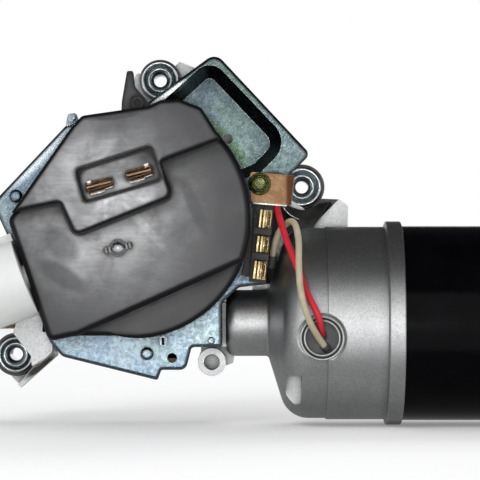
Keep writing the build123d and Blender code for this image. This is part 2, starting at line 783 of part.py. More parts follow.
# ================================================================ gear train
def intermediate_gear():
    """Moulded worm wheel with helical teeth."""
    lead_angle = atan(worm_starts * worm_module / (2 * worm_pitch_radius))
    twist = degrees(wheel_width * tan(lead_angle) / wheel_pitch_radius)
    face = gear_face(wheel_teeth, worm_module, 0.12)
    wheel = Solid.extrude_linear_with_rotation(face.face(), (0, 0, 0), (0, 0, wheel_width), twist)
    wheel = Rot(0, 0, wheel_phase - twist / 2) * wheel
    web = ring(0, 0, wheel_width - 2.0, wheel_width + 1, wheel_pitch_radius - 3.2, 6.0)
    wheel = wheel - web - post(0, 0, -1, wheel_width + 1, intermediate_radius + running_gap)
    return Pos(wheel_x, wheel_y, wheel_low) * wheel


def pinion():
    """Steel pinion pressed to the worm wheel's underside."""
    face = gear_face(pinion_teeth, pinion_module, 0.08)
    gear = slab(face, pinion_low, output_low + output_width + pinion_extra)
    hub = post(0, 0, output_low + output_width + pinion_extra, wheel_low, 5.0)
    gear = Rot(0, 0, pinion_phase) * gear + hub
    gear = gear - post(0, 0, pinion_low - 1, wheel_low + 1, intermediate_radius + running_gap)
    return Pos(wheel_x, wheel_y, 0) * gear


def intermediate_shaft():
    """Fixed pin that the worm wheel and pinion turn on."""
    pin = post(wheel_x, wheel_y, tray_floor - 1, wheel_low + wheel_width + 2.0, intermediate_radius)
    clip_low = wheel_low + wheel_width + 0.3
    return pin + post(wheel_x, wheel_y, clip_low, clip_low + 0.8, intermediate_radius + 1.8)


def output_gear():
    """Sintered output gear with a webbed face."""
    gear = slab(gear_face(output_teeth, pinion_module, 0.08), output_low, output_low + output_width)
    high = output_low + output_width
    gear = gear - ring(0, 0, high - 2.5, high + 1, 18.5, 9.5)
    for index in range(6):
        gear = gear - Rot(0, 0, 30 + 60 * index) * post(14.0, 0, output_low - 1, high + 1, 2.6)
    return gear - post(0, 0, output_low - 1, high + 1, output_radius)


def output_shaft():
    """Output shaft, from the gear down to the threaded end that takes the crank arm."""
    shaft = post(0, 0, -crank_drop, output_low + output_width, output_radius)
    thread = post(0, 0, -crank_drop - crank_sheet - 9.0, -crank_drop, output_radius - 1.0)
    return shaft + chamfer(thread.edges().sort_by(Axis.Z)[0], 0.7)


def output_bushing():
    """Long bronze bush of the output shaft."""
    return ring(0, 0, -boss_drop, boss_top, output_radius + output_bush_wall, output_radius + running_gap)


def shaft_seal():
    """Rubber seal below the output boss."""
    return ring(0, 0, -boss_drop - 3.0, -boss_drop, 9.5, output_radius + 0.12)


def thrust_washer():
    """Washer between the output gear and its boss."""
    return ring(0, 0, boss_top, boss_top + washer_thickness, 8.8, output_radius + 0.2)


def crank_arm():
    """Flat crank arm on the output shaft."""
    web = rounded([(-9, -9, 8.4), (crank_length + 7.5, -7.5, 7.0), (crank_length + 7.5, 7.5, 7.0),
                   (-9, 9, 8.4)])
    arm = slab(web, -crank_drop - crank_sheet, -crank_drop)
    arm = arm - post(0, 0, -crank_drop - 9, 0, output_radius - 1.0)
    return Rot(0, 0, crank_angle) * (arm - post(crank_length, 0, -crank_drop - 9, 0, 3.0))


def crank_nut():
    """Hexagon nut on the output shaft's end."""
    low = -crank_drop - crank_sheet - 6.5
    nut = Pos(0, 0, low) * extrude(RegularPolygon(7.5, 6), 6.5, dir=(0, 0, 1))
    return nut - post(0, 0, low - 1, 0, output_radius - 1.0)


def ball_stud():
    """Ball for the wiper linkage, riveted through the crank arm's end."""
    low = -crank_drop - crank_sheet
    stud = post(crank_length, 0, low, -crank_drop, 3.0) + post(crank_length, 0, -crank_drop,
                                                              -crank_drop + 1.5, 4.5)
    stud = stud + post(crank_length, 0, low - 7, low, 3.6)
    stud = stud + Pos(crank_length, 0, low - 11) * Sphere(ball_radius)
    return Rot(0, 0, crank_angle) * stud


def park_contact():
    """Leaf of the park switch, hanging from the cover above the output gear."""
    low, high = output_low + output_width + 1.4, cover_top - cover_sheet
    leaf = block(16.0, 30.0, -3.0, 3.0, low, low + 0.6) + block(29.2, 30.0, -3.0, 3.0, low, high)
    return leaf + block(29.2, 34.0, -3.0, 3.0, high - 0.8, high)


# ================================================================ wiring on the casting
def on_board(shape):
    """Move a shape from the terminal board's own directions to its place."""
    return Pos(board_x, board_y, 0) * Rot(0, 0, -board_turn) * shape


def terminal_board():
    """Moulded block with three terminal slots and a head under the ground strap."""
    half = board_width / 2
    body = on_board(block(-half, half, -15.0, 18.0, cover_top, board_top))
    for y in (-5.0, 4.7):
        body = body + on_board(block(-half, half, y - 1.3, y + 1.3, board_top - 0.1, board_top + 3.5))
    head = slab(rounded([(38.0 + 2.2, 8.6, 0.5), (51.6, 7.4, 1.0), (51.6, 19.0, 1.5), (40.6, 19.0, 1.0)]),
                cover_top, strap_height - strap_sheet)
    body = body + head - post(screw_x, screw_y, cover_top - 1, 80, ground_screw_radius + clear_gap)
    for points in (white_route, red_route):
        first, second = Vector(*points[0]), Vector(*points[1])
        direction = (second - first).normalized()
        socket = extrude(Plane(origin=first, z_dir=-direction) * Circle(lead_radius + 0.5), 4.5)
        body = body + socket
    return body - post(screw_x, screw_y, cover_top - 1, 80, ground_screw_radius + clear_gap)


def blade_terminals():
    """Three folded brass terminals on the board."""
    blades = []
    for y, length in ((9.6, 7.2), (-0.2, 6.4), (-10.2, 7.2)):
        tall = block(-2.2, 0.9, y - length / 2, y + length / 2, board_top, blade_high)
        tall = fillet(tall.edges().group_by(Axis.Z)[-1].filter_by(Axis.Y), 0.8)
        low = block(1.7, 2.9, y - length / 2, y + length / 2, board_top, blade_high - 2.0)
        foot = block(-2.2, 2.9, y - length / 2, y + length / 2, board_top, board_top + 0.8)
        blades.append(on_board(tall + low + foot))
    return Compound(blades)


def ground_strap():
    """Copper-coloured strap under the ground screw, bent down beyond the cover's edge."""
    high = strap_height
    flat = slab(rounded([(38.9, 19.3, 1.0), (56.0, 17.8, 0), (54.8, 6.4, 0), (39.2, 7.6, 1.0)]),
                high - strap_sheet, high)
    bent = slab(rounded([(55.0, 17.9, 0), (56.0, 17.8, 0), (54.8, 6.4, 0), (53.8, 6.5, 0)]),
                strap_end, high)
    return flat + bent - post(screw_x, screw_y, high - 3, high + 2, ground_screw_radius + clear_gap)


def ground_screw():
    """Ground screw with its captive washer and dished hexagon head."""
    washer = post(screw_x, screw_y, strap_height, strap_height + 0.9, 4.7)
    head = Pos(screw_x, screw_y, strap_height + 0.9) * extrude(RegularPolygon(4.0, 6), 3.0, dir=(0, 0, 1))
    head = head - post(screw_x, screw_y, strap_height + 3.1, strap_height + 5, 2.3)
    return washer + head + post(screw_x, screw_y, tray_rim - 8, strap_height, ground_screw_radius)


def wire_plug():
    """Plug pressed into the bell's wire bore."""
    top = bore_ring_top - plug_recess
    plug = post(bore_x, bore_y, top - plug_depth, top, bore_radius)
    for route in (red_route, white_route):
        end, before = Vector(*route[-1]), Vector(*route[-2])
        along = Plane(origin=end, z_dir=(end - before).normalized())
        collar = extrude(along * Circle(lead_radius + 0.5), 2.2)
        plug = plug + collar
    return plug


def red_lead():
    """Red lead from the terminal board to the bell."""
    return cord(red_route, lead_radius, "red_lead")


def white_lead():
    """White lead from the terminal board to the bell."""
    return cord(white_route, lead_radius, "white_lead")


# ================================================================ washer pump
def pump_outline():
    """Outer edge of the pump cover: straight left side, round right side."""
    south, east, north, west = (4.0, -43.6), (39.2, 2.6), (26.0, 34.0), (-28.6, 35.4)
    face = make_face([
        *Polyline(north, (20.5, 42.8), (12.0, 46.0), (5.0, 45.6), (0.6, 43.4), (-24.5, 39.8), west,
                  (-53.0, 0.6), (-37.6, -45.6), (-28.6, -43.6), south).edges(),
        ThreePointArc(south, (28.8, -28.0), east), ThreePointArc(east, (36.2, 18.1), north)])
    plain = [Vector(*place) for place in (south, east, north, west)]
    corners = face.vertices().filter_by(
        lambda vertex: all((Vector(vertex) - place).length > 0.1 for place in plain))
    return fillet(corners, 3.0)


def above_step():
    """Everything on the pump's side of the crescent ledge's step."""
    return rounded([(-60, -58.3, 0), (60, -4.5, 0), (60, 70, 0), (-60, 70, 0)])


def plateau_zone():
    """The stepped area that the connector's raised part covers."""
    return rounded([(-62, 1.0, 0), (-33, 7.2, 1.5), (-27.3, -5.5, 3.0), (9.9, 9.4, 3.5),
                    (4.9, 22.4, 1.5), (50, 39.4, 0), (50, 70, 0), (-62, 70, 0)])


def pocket_face(grown=0.0):
    """The connector pocket's mouth."""
    face = rounded([(-27.1, 19.3, 1.5), (1.5, 28.4, 1.5), (5.8, 15.9, 1.5), (-23.7, 7.1, 1.5)])
    return offset(face, grown, kind=Kind.ARC) if grown else face


def tier(face, high, edge_radius):
    """One level of the pump cover with a rounded top edge."""
    body = slab(face, cover_top, high)
    return fillet(body.faces().sort_by(Axis.Z)[-1].edges(), edge_radius)


def pump_cover():
    """Black moulded cover with ledge, face and plateau, a connector pocket and a clip ear."""
    outline = pump_outline()
    wall = pump_cover_wall
    shell = tier(outline, ledge_top, ledge_edge)
    shell = shell + tier(outline & above_step(), face_top, face_edge)
    shell = shell + tier(outline & plateau_zone(), plateau_top, plateau_edge)
    inner = inset(outline, wall)
    high_zone = inner & inset(plateau_zone(), wall + 1.0)
    hollow = slab(inner, cover_top - 1, ledge_top - wall)
    hollow = hollow + slab(inner & inset(above_step(), wall + 1.0), cover_top - 1, face_top - wall)
    hollow = hollow + slab(high_zone, cover_top - 1, plateau_top - wall)
    pocket_low = plateau_top - pocket_depth
    hollow = hollow - slab(pocket_face(2.0), pocket_low - 2.0, plateau_top)
    shell = shell - hollow - slab(pocket_face(), pocket_low, plateau_top + 1)
    for x, y in blade_places:
        slot = Pos(x, y, 0) * Rot(0, 0, pocket_turn) * block(-5.2, 5.2, -1.2, 1.2, 0, plateau_top)
        shell = shell - slot
    ear = slab(rounded([(-8.4, 57.9, 0.8), (-6.2, 57.9, 0.5), (-5.4, 52.0, 2.0), (-1.0, 47.0, 1.0),
                        (2.0, 42.5, 0), (-10.6, 40.0, 0), (-10.4, 46.0, 1.0)]),
               cover_top + part_gap, cover_top + 9)
    ear = ear + post(*ear_pin, cover_top + part_gap, cover_top + 11, 2.5)
    ear = ear - post(*ear_pin, cover_top + 9.5, cover_top + 12, 1.3)
    shell = shell + (ear - slab(inset(outline, 1.0), 0, 99))
    shell = shell - post(*pump_point(stud_u, stud_v), ledge_top, plateau_top + 1, stud_radius + 0.25)
    return shell - on_pump(Pos(0, pump_offset, pump_height) * bar(-60, -46, spigot_radius + clear_gap))


def pump_frame():
    """Steel base of the pump with the relay's yoke and the slide's guide."""
    high = cover_top + frame_sheet
    plate = slab(inset(pump_outline(), pump_cover_wall + 0.6), cover_top, high)
    plate = plate - post(0, 0, cover_top - 1, high + 1, cam_lobe + 1.5)
    for x, y in rivet_places:
        plate = plate - post(x, y, cover_top - 1, high + 1, rivet_head_radius + 0.5)
    for u, v in pump_screw_places:
        plate = plate - post(*pump_point(u, v), cover_top - 1, high + 1, pump_screw_radius + clear_gap)
    yoke = block(relay_u + 10, relay_u + 12, relay_v - 6, relay_v + 6, high - 0.1, relay_gap_high - 0.4)
    guide = block(-33, -24, -2.5, 2.5, high - 0.1, slide_low - side_gap)
    return plate + on_pump(yoke + guide)


def pump_screws():
    """Three screws that hold the pump's frame to the gearbox cover."""
    screws = []
    for u, v in pump_screw_places:
        x, y = pump_point(u, v)
        high = cover_top + frame_sheet
        head = fillet(post(x, y, high, high + 2.0, 3.0).edges().sort_by(Axis.Z)[-1], 0.8)
        screws.append(head + post(x, y, cover_top - cover_sheet - 3.0, high, pump_screw_radius))
    return Compound(screws)


def pump_cam():
    """Four-lobed cam and its neck, driven by the output gear."""
    neck = post(0, 0, output_low + output_width, cam_low, cam_neck_radius)
    lobes = post(0, 0, cam_low, cam_high, cam_root)
    for index in range(4):
        lobes = lobes + Rot(0, 0, 90 * index) * post(cam_lobe - 2.2, 0, cam_low, cam_high, 2.2)
    return neck + lobes


def cover_stud():
    """Stud through the pump cover; the ratchet wheel turns on it."""
    x, y = pump_point(stud_u, stud_v)
    stud = post(x, y, cover_top + frame_sheet, face_top + 2.4, stud_radius)
    shoulder = post(x, y, slide_low + slide_sheet + 0.1, ratchet_low - 0.2, stud_radius + 1.0)
    return fillet(stud.edges().sort_by(Axis.Z)[-1], 0.9) + shoulder


def stud_clip():
    """Push-on clip that holds the cover to the stud."""
    high = face_top + clip_sheet
    clip = block(-4.6, 4.6, -1.1, 1.1, face_top, high) + post(0, 0, face_top, high, 3.1)
    for side in (-1, 1):
        curl = Pos(side * 4.6, 0, face_top + 0.9) * Rot(90, 0, 0) * Cylinder(0.9, 2.2)
        clip = clip + curl
    clip = clip - post(0, 0, face_top - 1, face_top + 3, stud_radius)
    return on_pump(Pos(stud_u, stud_v, 0) * Rot(0, 0, -8) * clip)


def ratchet_wheel():
    """Ratchet wheel of the pulse counter, with saw teeth."""
    points = []
    for tooth in range(ratchet_teeth):
        angle = 2 * pi * tooth / ratchet_teeth
        points.append((ratchet_radius * cos(angle), ratchet_radius * sin(angle)))
        root = ratchet_radius - 1.1
        points.append((root * cos(angle + 0.02), root * sin(angle + 0.02)))
    wheel = slab(make_face(Polyline(*points, close=True)), ratchet_low + 1.0, ratchet_low + 3.2)
    wheel = wheel + post(0, 0, ratchet_low, ratchet_low + 4.8, 3.6)
    wheel = wheel - post(0, 0, 60, 80, stud_radius + running_gap)
    return on_pump(Pos(stud_u, stud_v, 0) * wheel)


def cam_follower():
    """Slide plate with the cam's pin and the upright that pushes the piston."""
    plate = block(-40, -8.5, -2.8, 2.8, slide_low, slide_low + slide_sheet)
    plate = plate + block(-40, -30, -7.0, 2.8, slide_low, slide_low + slide_sheet)
    plate = plate + block(-36, -34, -7.0, 1.0, slide_low + slide_sheet - 0.1, pump_height + 4)
    pin = post(-cam_lobe - 2.0, 0, cam_low + 0.3, slide_low + 0.1, 1.5)
    return on_pump(plate + pin)


def on_pump_axis(shape):
    """Move a shape from the x axis to the pump's axis."""
    return on_pump(Pos(0, pump_offset, pump_height) * shape)


def pump_piston():
    """Piston and its rod."""
    rod = bar(-61.0, -36.0, rod_radius)
    return on_pump_axis(rod + bar(-66.0, -60.9, pump_bore_radius - sliding_gap))


def pump_body():
    """White moulded pump cylinder with its spigot."""
    body = bar(pump_body_end, pump_body_front, pump_body_radius)
    body = fillet(body.edges().group_by(Axis.X)[0], 0.8)
    body = body + bar(pump_body_front - 0.1, -45.0, spigot_radius)
    body = body + block(pump_body_end, pump_body_front, 11.0, pump_body_radius + 3.0, -8.0, -5.0)
    body = body - bar(pump_body_end - 1, -58.0, pump_bore_radius)
    return on_pump_axis(body - bar(-60, -40, rod_radius + sliding_gap))


def valve_cap():
    """End cap of the pump with its block of three hose nozzles."""
    start = pump_body_end - cap_length
    cap = fillet(bar(start, pump_body_end, pump_body_radius + 0.8).edges().group_by(Axis.X)[0], 1.2)
    reach = nozzle_tip - nozzle_length
    half = nozzle_pitch + 4.0
    cap = cap + block(start + 0.6, pump_body_end - 0.6, -reach, 0, -half, half)
    from_end = (Align.CENTER, Align.CENTER, Align.MIN)
    for offset in (-nozzle_pitch, 0.0, nozzle_pitch):
        place = Pos(start + cap_length / 2, -nozzle_tip, offset) * Rot(-90, 0, 0)
        cap = cap + place * Cylinder(nozzle_radius, nozzle_length + 1, align=from_end)
        cap = cap - place * Cylinder(nozzle_radius - 1.0, nozzle_tip - 6, align=from_end)
    return on_pump_axis(cap)


def piston_spring():
    """Compression spring behind the piston."""
    coil = Helix(pitch=3.6, height=14.4, radius=6.0)
    wire = sweep(Plane(origin=coil @ 0, z_dir=coil % 0) * Circle(0.55), path=coil, is_frenet=True)
    return on_pump_axis(Pos(-66.6 - 14.4, 0, 0) * Rot(0, 90, 0) * wire)


def relay_coil():
    """Relay coil on its bobbin."""
    low = cover_top + frame_sheet
    coil = post(relay_u, relay_v, low, low + 1.2, relay_radius)
    coil = coil + post(relay_u, relay_v, low + 1.2, low + relay_height - 1.2, relay_radius - 1.0)
    coil = coil + post(relay_u, relay_v, low + relay_height - 1.2, low + relay_height, relay_radius)
    return on_pump(coil - post(relay_u, relay_v, low - 1, low + relay_height + 1, relay_core_radius))


def relay_core():
    """Iron core of the relay."""
    low = cover_top + frame_sheet
    return on_pump(post(relay_u, relay_v, low, low + relay_height + 0.6, relay_core_radius))


def relay_armature():
    """Hinged iron flap above the relay's core."""
    low = relay_gap_high
    flap = block(relay_u - 10, relay_u + 12.5, relay_v - 6, relay_v + 6, low, low + 1.4)
    return on_pump(flap)


def pump_terminals():
    """Two upright blades in the connector pocket."""
    blades = []
    for x, y in blade_places:
        blade = block(-4.8, 4.8, -0.7, 0.7, plateau_top - pocket_depth - 6, plateau_top - 1.5)
        blade = chamfer(blade.edges().group_by(Axis.Z)[-1].filter_by(Axis.X), 0.4)
        blade = blade + block(-6.5, 6.5, -2.5, 2.5, plateau_top - pocket_depth - 3.2,
                              plateau_top - pocket_depth - 2.0)
        blades.append(Pos(x, y, 0) * Rot(0, 0, pocket_turn) * blade)
    return Compound(blades)


nodes = {
    "gear_housing": gear_housing, "gearbox_cover": gearbox_cover, "cover_gasket": cover_gasket,
    "cover_rivets": cover_rivets, "mounting_sleeves": mounting_sleeves,
    "mounting_grommets": mounting_grommets, "motor_can": motor_can, "tie_bolts": tie_bolts,
    "pole_shoes": pole_shoes, "field_coils": field_coils, "armature_shaft": armature_shaft,
    "armature_core": armature_core, "armature_windings": armature_windings, "commutator": commutator,
    "front_bushing": front_bushing, "tip_bushing": tip_bushing, "rear_bushing": rear_bushing,
    "adjusting_screw": adjusting_screw, "brush_card": brush_card, "brush_holders": brush_holders,
    "brushes": brushes, "brush_springs": brush_springs, "intermediate_gear": intermediate_gear,
    "pinion": pinion, "intermediate_shaft": intermediate_shaft, "output_gear": output_gear,
    "output_shaft": output_shaft, "output_bushing": output_bushing, "shaft_seal": shaft_seal,
    "thrust_washer": thrust_washer, "crank_arm": crank_arm, "crank_nut": crank_nut, "ball_stud": ball_stud,
    "park_contact": park_contact, "terminal_board": terminal_board, "blade_terminals": blade_terminals,
    "ground_strap": ground_strap, "ground_screw": ground_screw, "wire_plug": wire_plug,
    "red_lead": red_lead, "white_lead": white_lead, "pump_cover": pump_cover, "pump_frame": pump_frame,
    "pump_screws": pump_screws, "pump_cam": pump_cam, "cover_stud": cover_stud, "stud_clip": stud_clip,
    "ratchet_wheel": ratchet_wheel, "cam_follower": cam_follower,
    "pump_piston": pump_piston, "pump_body": pump_body, "valve_cap": valve_cap,
    "piston_spring": piston_spring, "relay_coil": relay_coil, "relay_core": relay_core,
    "relay_armature": relay_armature, "pump_terminals": pump_terminals,
}


def main():
    os.makedirs("parts", exist_ok=True)
    for name, make in nodes.items():
        export_step(STAND * make(), "parts/" + name + ".step")


main()
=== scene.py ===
import json
import math
import bmesh
import bpy
from mathutils import Matrix, Vector


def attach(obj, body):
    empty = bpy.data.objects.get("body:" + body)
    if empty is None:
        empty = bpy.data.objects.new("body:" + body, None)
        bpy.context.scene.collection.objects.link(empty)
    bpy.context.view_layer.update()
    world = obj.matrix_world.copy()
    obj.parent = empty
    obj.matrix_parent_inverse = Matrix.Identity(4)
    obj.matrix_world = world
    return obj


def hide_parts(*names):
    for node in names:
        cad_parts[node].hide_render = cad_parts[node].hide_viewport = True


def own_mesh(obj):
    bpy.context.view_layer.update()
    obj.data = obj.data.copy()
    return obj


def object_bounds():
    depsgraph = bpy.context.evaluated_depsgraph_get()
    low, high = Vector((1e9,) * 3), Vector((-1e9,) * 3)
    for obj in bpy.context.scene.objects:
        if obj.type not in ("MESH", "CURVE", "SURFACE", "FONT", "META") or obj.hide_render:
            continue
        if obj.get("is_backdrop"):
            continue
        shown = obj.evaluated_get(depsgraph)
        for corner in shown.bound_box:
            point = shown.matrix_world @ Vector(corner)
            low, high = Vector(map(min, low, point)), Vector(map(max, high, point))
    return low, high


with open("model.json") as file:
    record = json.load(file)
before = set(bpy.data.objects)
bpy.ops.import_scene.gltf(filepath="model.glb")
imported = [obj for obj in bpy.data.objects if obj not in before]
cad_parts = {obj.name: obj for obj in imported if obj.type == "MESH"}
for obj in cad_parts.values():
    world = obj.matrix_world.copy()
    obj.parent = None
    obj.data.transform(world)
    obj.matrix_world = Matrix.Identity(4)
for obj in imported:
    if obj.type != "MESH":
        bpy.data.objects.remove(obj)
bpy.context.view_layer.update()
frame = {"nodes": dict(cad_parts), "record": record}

nodes = frame["nodes"]
MM = 0.001

# ---------------------------------------------------------------- camera
CAMERA_PLACE = (0.035, -1.042, -0.007)
LENS = 191.3
camera_data = bpy.data.cameras.new("camera")
camera_data.lens = LENS
camera_data.sensor_width = 36
camera = bpy.data.objects.new("camera", camera_data)
camera.location = CAMERA_PLACE
camera.rotation_euler = (math.radians(90), 0, 0)
bpy.context.scene.collection.objects.link(camera)
bpy.context.scene.camera = camera
bpy.context.scene.view_settings.view_transform = "Standard"


# ---------------------------------------------------------------- light
def area_light(name, place, aim, size, energy):
    """A soft square lamp that looks at a point."""
    data = bpy.data.lights.new(name, "AREA")
    data.shape = "SQUARE"
    data.size = size
    data.energy = energy
    lamp = bpy.data.objects.new(name, data)
    lamp.location = place
    lamp.rotation_mode = "QUATERNION"
    lamp.rotation_quaternion = (Vector(aim) - Vector(place)).to_track_quat("-Z", "Y")
    bpy.context.scene.collection.objects.link(lamp)
    return lamp


AIM = (0.02, -0.05, 0.0)
area_light("front", (0.0, -1.12, -0.11), AIM, 0.22, 2.4)
for name, place, size, energy in (("left", (-0.5, -1.0, 0.65), 0.6, 6.0),
                                  ("right", (1.0, -0.8, 0.3), 0.6, 2.0),
                                  ("back", (0.3, 0.9, 0.9), 0.7, 5.0)):
    area_light(name, place, AIM, size, energy).visible_glossy = False


def nodes_of(owner):
    """The node tree of a material or world, switched on."""
    owner.use_nodes = True
    return owner.node_tree


def add(tree, kind, **values):
    """A new shader node, with its inputs set by name and its settings by attribute."""
    node = tree.nodes.new(kind)
    for key, value in values.items():
        name = key.replace("_", " ")
        if hasattr(node, key):
            setattr(node, key, value)
        elif name in node.inputs:
            node.inputs[name].default_value = value
        else:
            node.inputs[int(key[1:])].default_value = value
    return node


world = bpy.data.worlds.new("world")
bpy.context.scene.world = world
tree = nodes_of(world)
tree.nodes.clear()
path = add(tree, "ShaderNodeLightPath")
seen = add(tree, "ShaderNodeMath", operation="MAXIMUM")
shiny = add(tree, "ShaderNodeMath", operation="MAXIMUM")
tree.links.new(path.outputs["Is Camera Ray"], seen.inputs[0])
tree.links.new(path.outputs["Is Glossy Ray"], shiny.inputs[0])
tree.links.new(path.outputs["Is Transmission Ray"], shiny.inputs[1])
tree.links.new(shiny.outputs[0], seen.inputs[1])
ambient = add(tree, "ShaderNodeBackground", Color=(0.97, 0.98, 1, 1), Strength=0.5)
white = add(tree, "ShaderNodeBackground", Color=(1, 1, 1, 1), Strength=1.0)
mixed = add(tree, "ShaderNodeMixShader")
out = add(tree, "ShaderNodeOutputWorld")
tree.links.new(seen.outputs[0], mixed.inputs[0])
tree.links.new(ambient.outputs[0], mixed.inputs[1])
tree.links.new(white.outputs[0], mixed.inputs[2])
tree.links.new(mixed.outputs[0], out.inputs[0])


def card(name, low, high, shade):
    """A studio card between two corners of a box with no thickness, seen only in reflections."""
    mesh = bpy.data.meshes.new(name)
    flat = [low[axis] == high[axis] for axis in range(3)].index(True)
    first, second = [axis for axis in range(3) if axis != flat]
    corners = []
    for a, b in ((0, 0), (1, 0), (1, 1), (0, 1)):
        corner = list(low)
        corner[first] = (low, high)[a][first]
        corner[second] = (low, high)[b][second]
        corners.append(corner)
    mesh.from_pydata(corners, [], [(0, 1, 2, 3)])
    piece = bpy.data.objects.new(name, mesh)
    bpy.context.scene.collection.objects.link(piece)
    material = bpy.data.materials.new(name)
    tree = nodes_of(material)
    tree.nodes.clear()
    glow = add(tree, "ShaderNodeEmission", Color=(shade, shade, shade, 1))
    tree.links.new(glow.outputs[0], add(tree, "ShaderNodeOutputMaterial").inputs[0])
    mesh.materials.append(material)
    for ray in ("camera", "diffuse", "shadow", "transmission", "volume_scatter"):
        setattr(piece, "visible_" + ray, False)
    piece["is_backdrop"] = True


card("card_top", (-0.6, -0.55, 0.33), (0.9, 1.2, 0.33), 0.04)
card("card_left", (-0.6, -0.55, -0.3), (-0.6, 0.5, 0.33), 0.18)
card("card_right", (0.9, -0.55, -0.3), (0.9, 0.5, 0.33), 0.14)
card("card_low", (-0.6, -0.13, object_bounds()[0][2]), (0.9, 1.2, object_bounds()[0][2]), 0.26)


# ---------------------------------------------------------------- material tools
class Finish:
    """A procedural material with its texture nodes in object coordinates (metres)."""

    def __init__(self, name, **sockets):
        self.material = bpy.data.materials.new(name)
        self.tree = nodes_of(self.material)
        self.shader = self.tree.nodes["Principled BSDF"]
        for key, value in sockets.items():
            self.shader.inputs[key.replace("_", " ")].default_value = value
        self.place = add(self.tree, "ShaderNodeTexCoord").outputs["Object"]
        self.heights = []

    def link(self, a, b):
        self.tree.links.new(a, b)

    def mapped(self, scale):
        """Object coordinates stretched by a scale for each axis, in periods per metre."""
        node = add(self.tree, "ShaderNodeMapping")
        node.inputs["Scale"].default_value = scale
        self.link(self.place, node.inputs["Vector"])
        return node.outputs[0]

    def noise(self, size, detail=3.0, rough=0.5, distortion=0.0, stretch=None):
        """Noise with features of about this size in millimetres."""
        node = add(self.tree, "ShaderNodeTexNoise", Detail=detail, Roughness=rough, Distortion=distortion)
        if stretch:
            node.inputs["Scale"].default_value = 1.0
            self.link(self.mapped([1000 / size * s for s in stretch]), node.inputs["Vector"])
        else:
            node.inputs["Scale"].default_value = 1000 / size
            self.link(self.place, node.inputs["Vector"])
        return node.outputs["Fac"]

    def around(self, centre, reach):
        """Mask that is 1 at a point in metres and fades to 0 at the reach along each axis."""
        node = add(self.tree, "ShaderNodeMapping", vector_type="TEXTURE")
        node.inputs["Location"].default_value = centre
        node.inputs["Scale"].default_value = reach
        self.link(self.place, node.inputs["Vector"])
        ball = add(self.tree, "ShaderNodeTexGradient", gradient_type="QUADRATIC_SPHERE")
        self.link(node.outputs[0], ball.inputs["Vector"])
        return self.spread(ball.outputs["Fac"], 0.0, 0.75)

    def spread(self, value, low, high, to_low=0.0, to_high=1.0):
        node = add(self.tree, "ShaderNodeMapRange")
        self.link(value, node.inputs["Value"])
        for key, number in zip(("From Min", "From Max", "To Min", "To Max"), (low, high, to_low, to_high)):
            node.inputs[key].default_value = number
        return node.outputs["Result"]

    def times(self, a, b):
        node = add(self.tree, "ShaderNodeMath", operation="MULTIPLY")
        self.link(a, node.inputs[0])
        if isinstance(b, float):
            node.inputs[1].default_value = b
        else:
            self.link(b, node.inputs[1])
        return node.outputs[0]

    def colour(self, mask, a, b):
        """Colour from a to b as the mask goes from 0 to 1; a and b are colours or outputs."""
        node = add(self.tree, "ShaderNodeMix", data_type="RGBA")
        self.link(mask, node.inputs["Factor"])
        for value, socket in ((a, node.inputs[6]), (b, node.inputs[7])):
            if isinstance(value, tuple):
                socket.default_value = (*value, 1)
            else:
                self.link(value, socket)
        return node.outputs[2]

    def edges(self, radius=0.6, low=0.004, high=0.10):
        """Mask that is 1 along sharp edges."""
        bevel = add(self.tree, "ShaderNodeBevel", samples=4, Radius=radius * MM)
        normal = add(self.tree, "ShaderNodeNewGeometry").outputs["True Normal"]
        dot = add(self.tree, "ShaderNodeVectorMath", operation="DOT_PRODUCT")
        self.link(bevel.outputs[0], dot.inputs[0])
        self.link(normal, dot.inputs[1])
        return self.spread(dot.outputs["Value"], 1.0 - low, 1.0 - high)

    def hollow_shade(self, distance=3.0, open_at=0.85, shut_at=0.25):
        """Mask that is 1 deep in corners and under parts, where the materials paint shade."""
        node = add(self.tree, "ShaderNodeAmbientOcclusion", samples=4, Distance=distance * MM)
        return self.spread(node.outputs["AO"], open_at, shut_at)

    def level(self, radius=2.9, low=0.95, high=0.999):
        """Mask that is 1 on the flat front faces and 0 within the radius of their edges."""
        normal = add(self.tree, "ShaderNodeBevel", samples=8, Radius=radius * MM)
        dot = add(self.tree, "ShaderNodeVectorMath", operation="DOT_PRODUCT", i1=(0, -1, 0))
        self.link(normal.outputs[0], dot.inputs[0])
        return self.spread(dot.outputs["Value"], low, high)

    def line_mask(self, start, end, width, sharp=0.4):
        """Mask that is 1 along a line between two points of the front, in bench millimetres; it places
        painted shade, shadows, highlights and reflections.
        """
        (x1, y1), (x2, y2) = start, end
        node = add(self.tree, "ShaderNodeMapping", vector_type="TEXTURE")
        node.inputs["Location"].default_value = ((x1 + x2) / 2 * MM, -0.08, (y1 + y2) / 2 * MM)
        node.inputs["Rotation"].default_value = (0, -math.atan2(y2 - y1, x2 - x1), 0)
        node.inputs["Scale"].default_value = (math.dist(start, end) * 0.6 * MM, 0.2, width * MM)
        self.link(self.place, node.inputs["Vector"])
        ball = add(self.tree, "ShaderNodeTexGradient", gradient_type="SPHERICAL")
        self.link(node.outputs[0], ball.inputs["Vector"])
        return self.spread(ball.outputs["Fac"], 0.0, sharp)

    def beyond(self, axis, start, end):
        """Mask that goes from 0 at the start to 1 at the end along an axis, in metres."""
        node = add(self.tree, "ShaderNodeSeparateXYZ")
        self.link(self.place, node.inputs[0])
        return self.spread(node.outputs[axis], start, end)

    def bump(self, height, depth):
        """Relief of this depth in millimetres, laid over the relief before it."""
        node = add(self.tree, "ShaderNodeBump", Strength=1.0, Distance=depth * MM)
        self.link(height, node.inputs["Height"])
        if self.heights:
            self.link(self.heights[-1], node.inputs["Normal"])
        else:
            soft = add(self.tree, "ShaderNodeBevel", samples=4, Radius=0.25 * MM)
            self.link(soft.outputs[0], node.inputs["Normal"])
        self.heights.append(node.outputs[0])
        self.link(node.outputs[0], self.shader.inputs["Normal"])

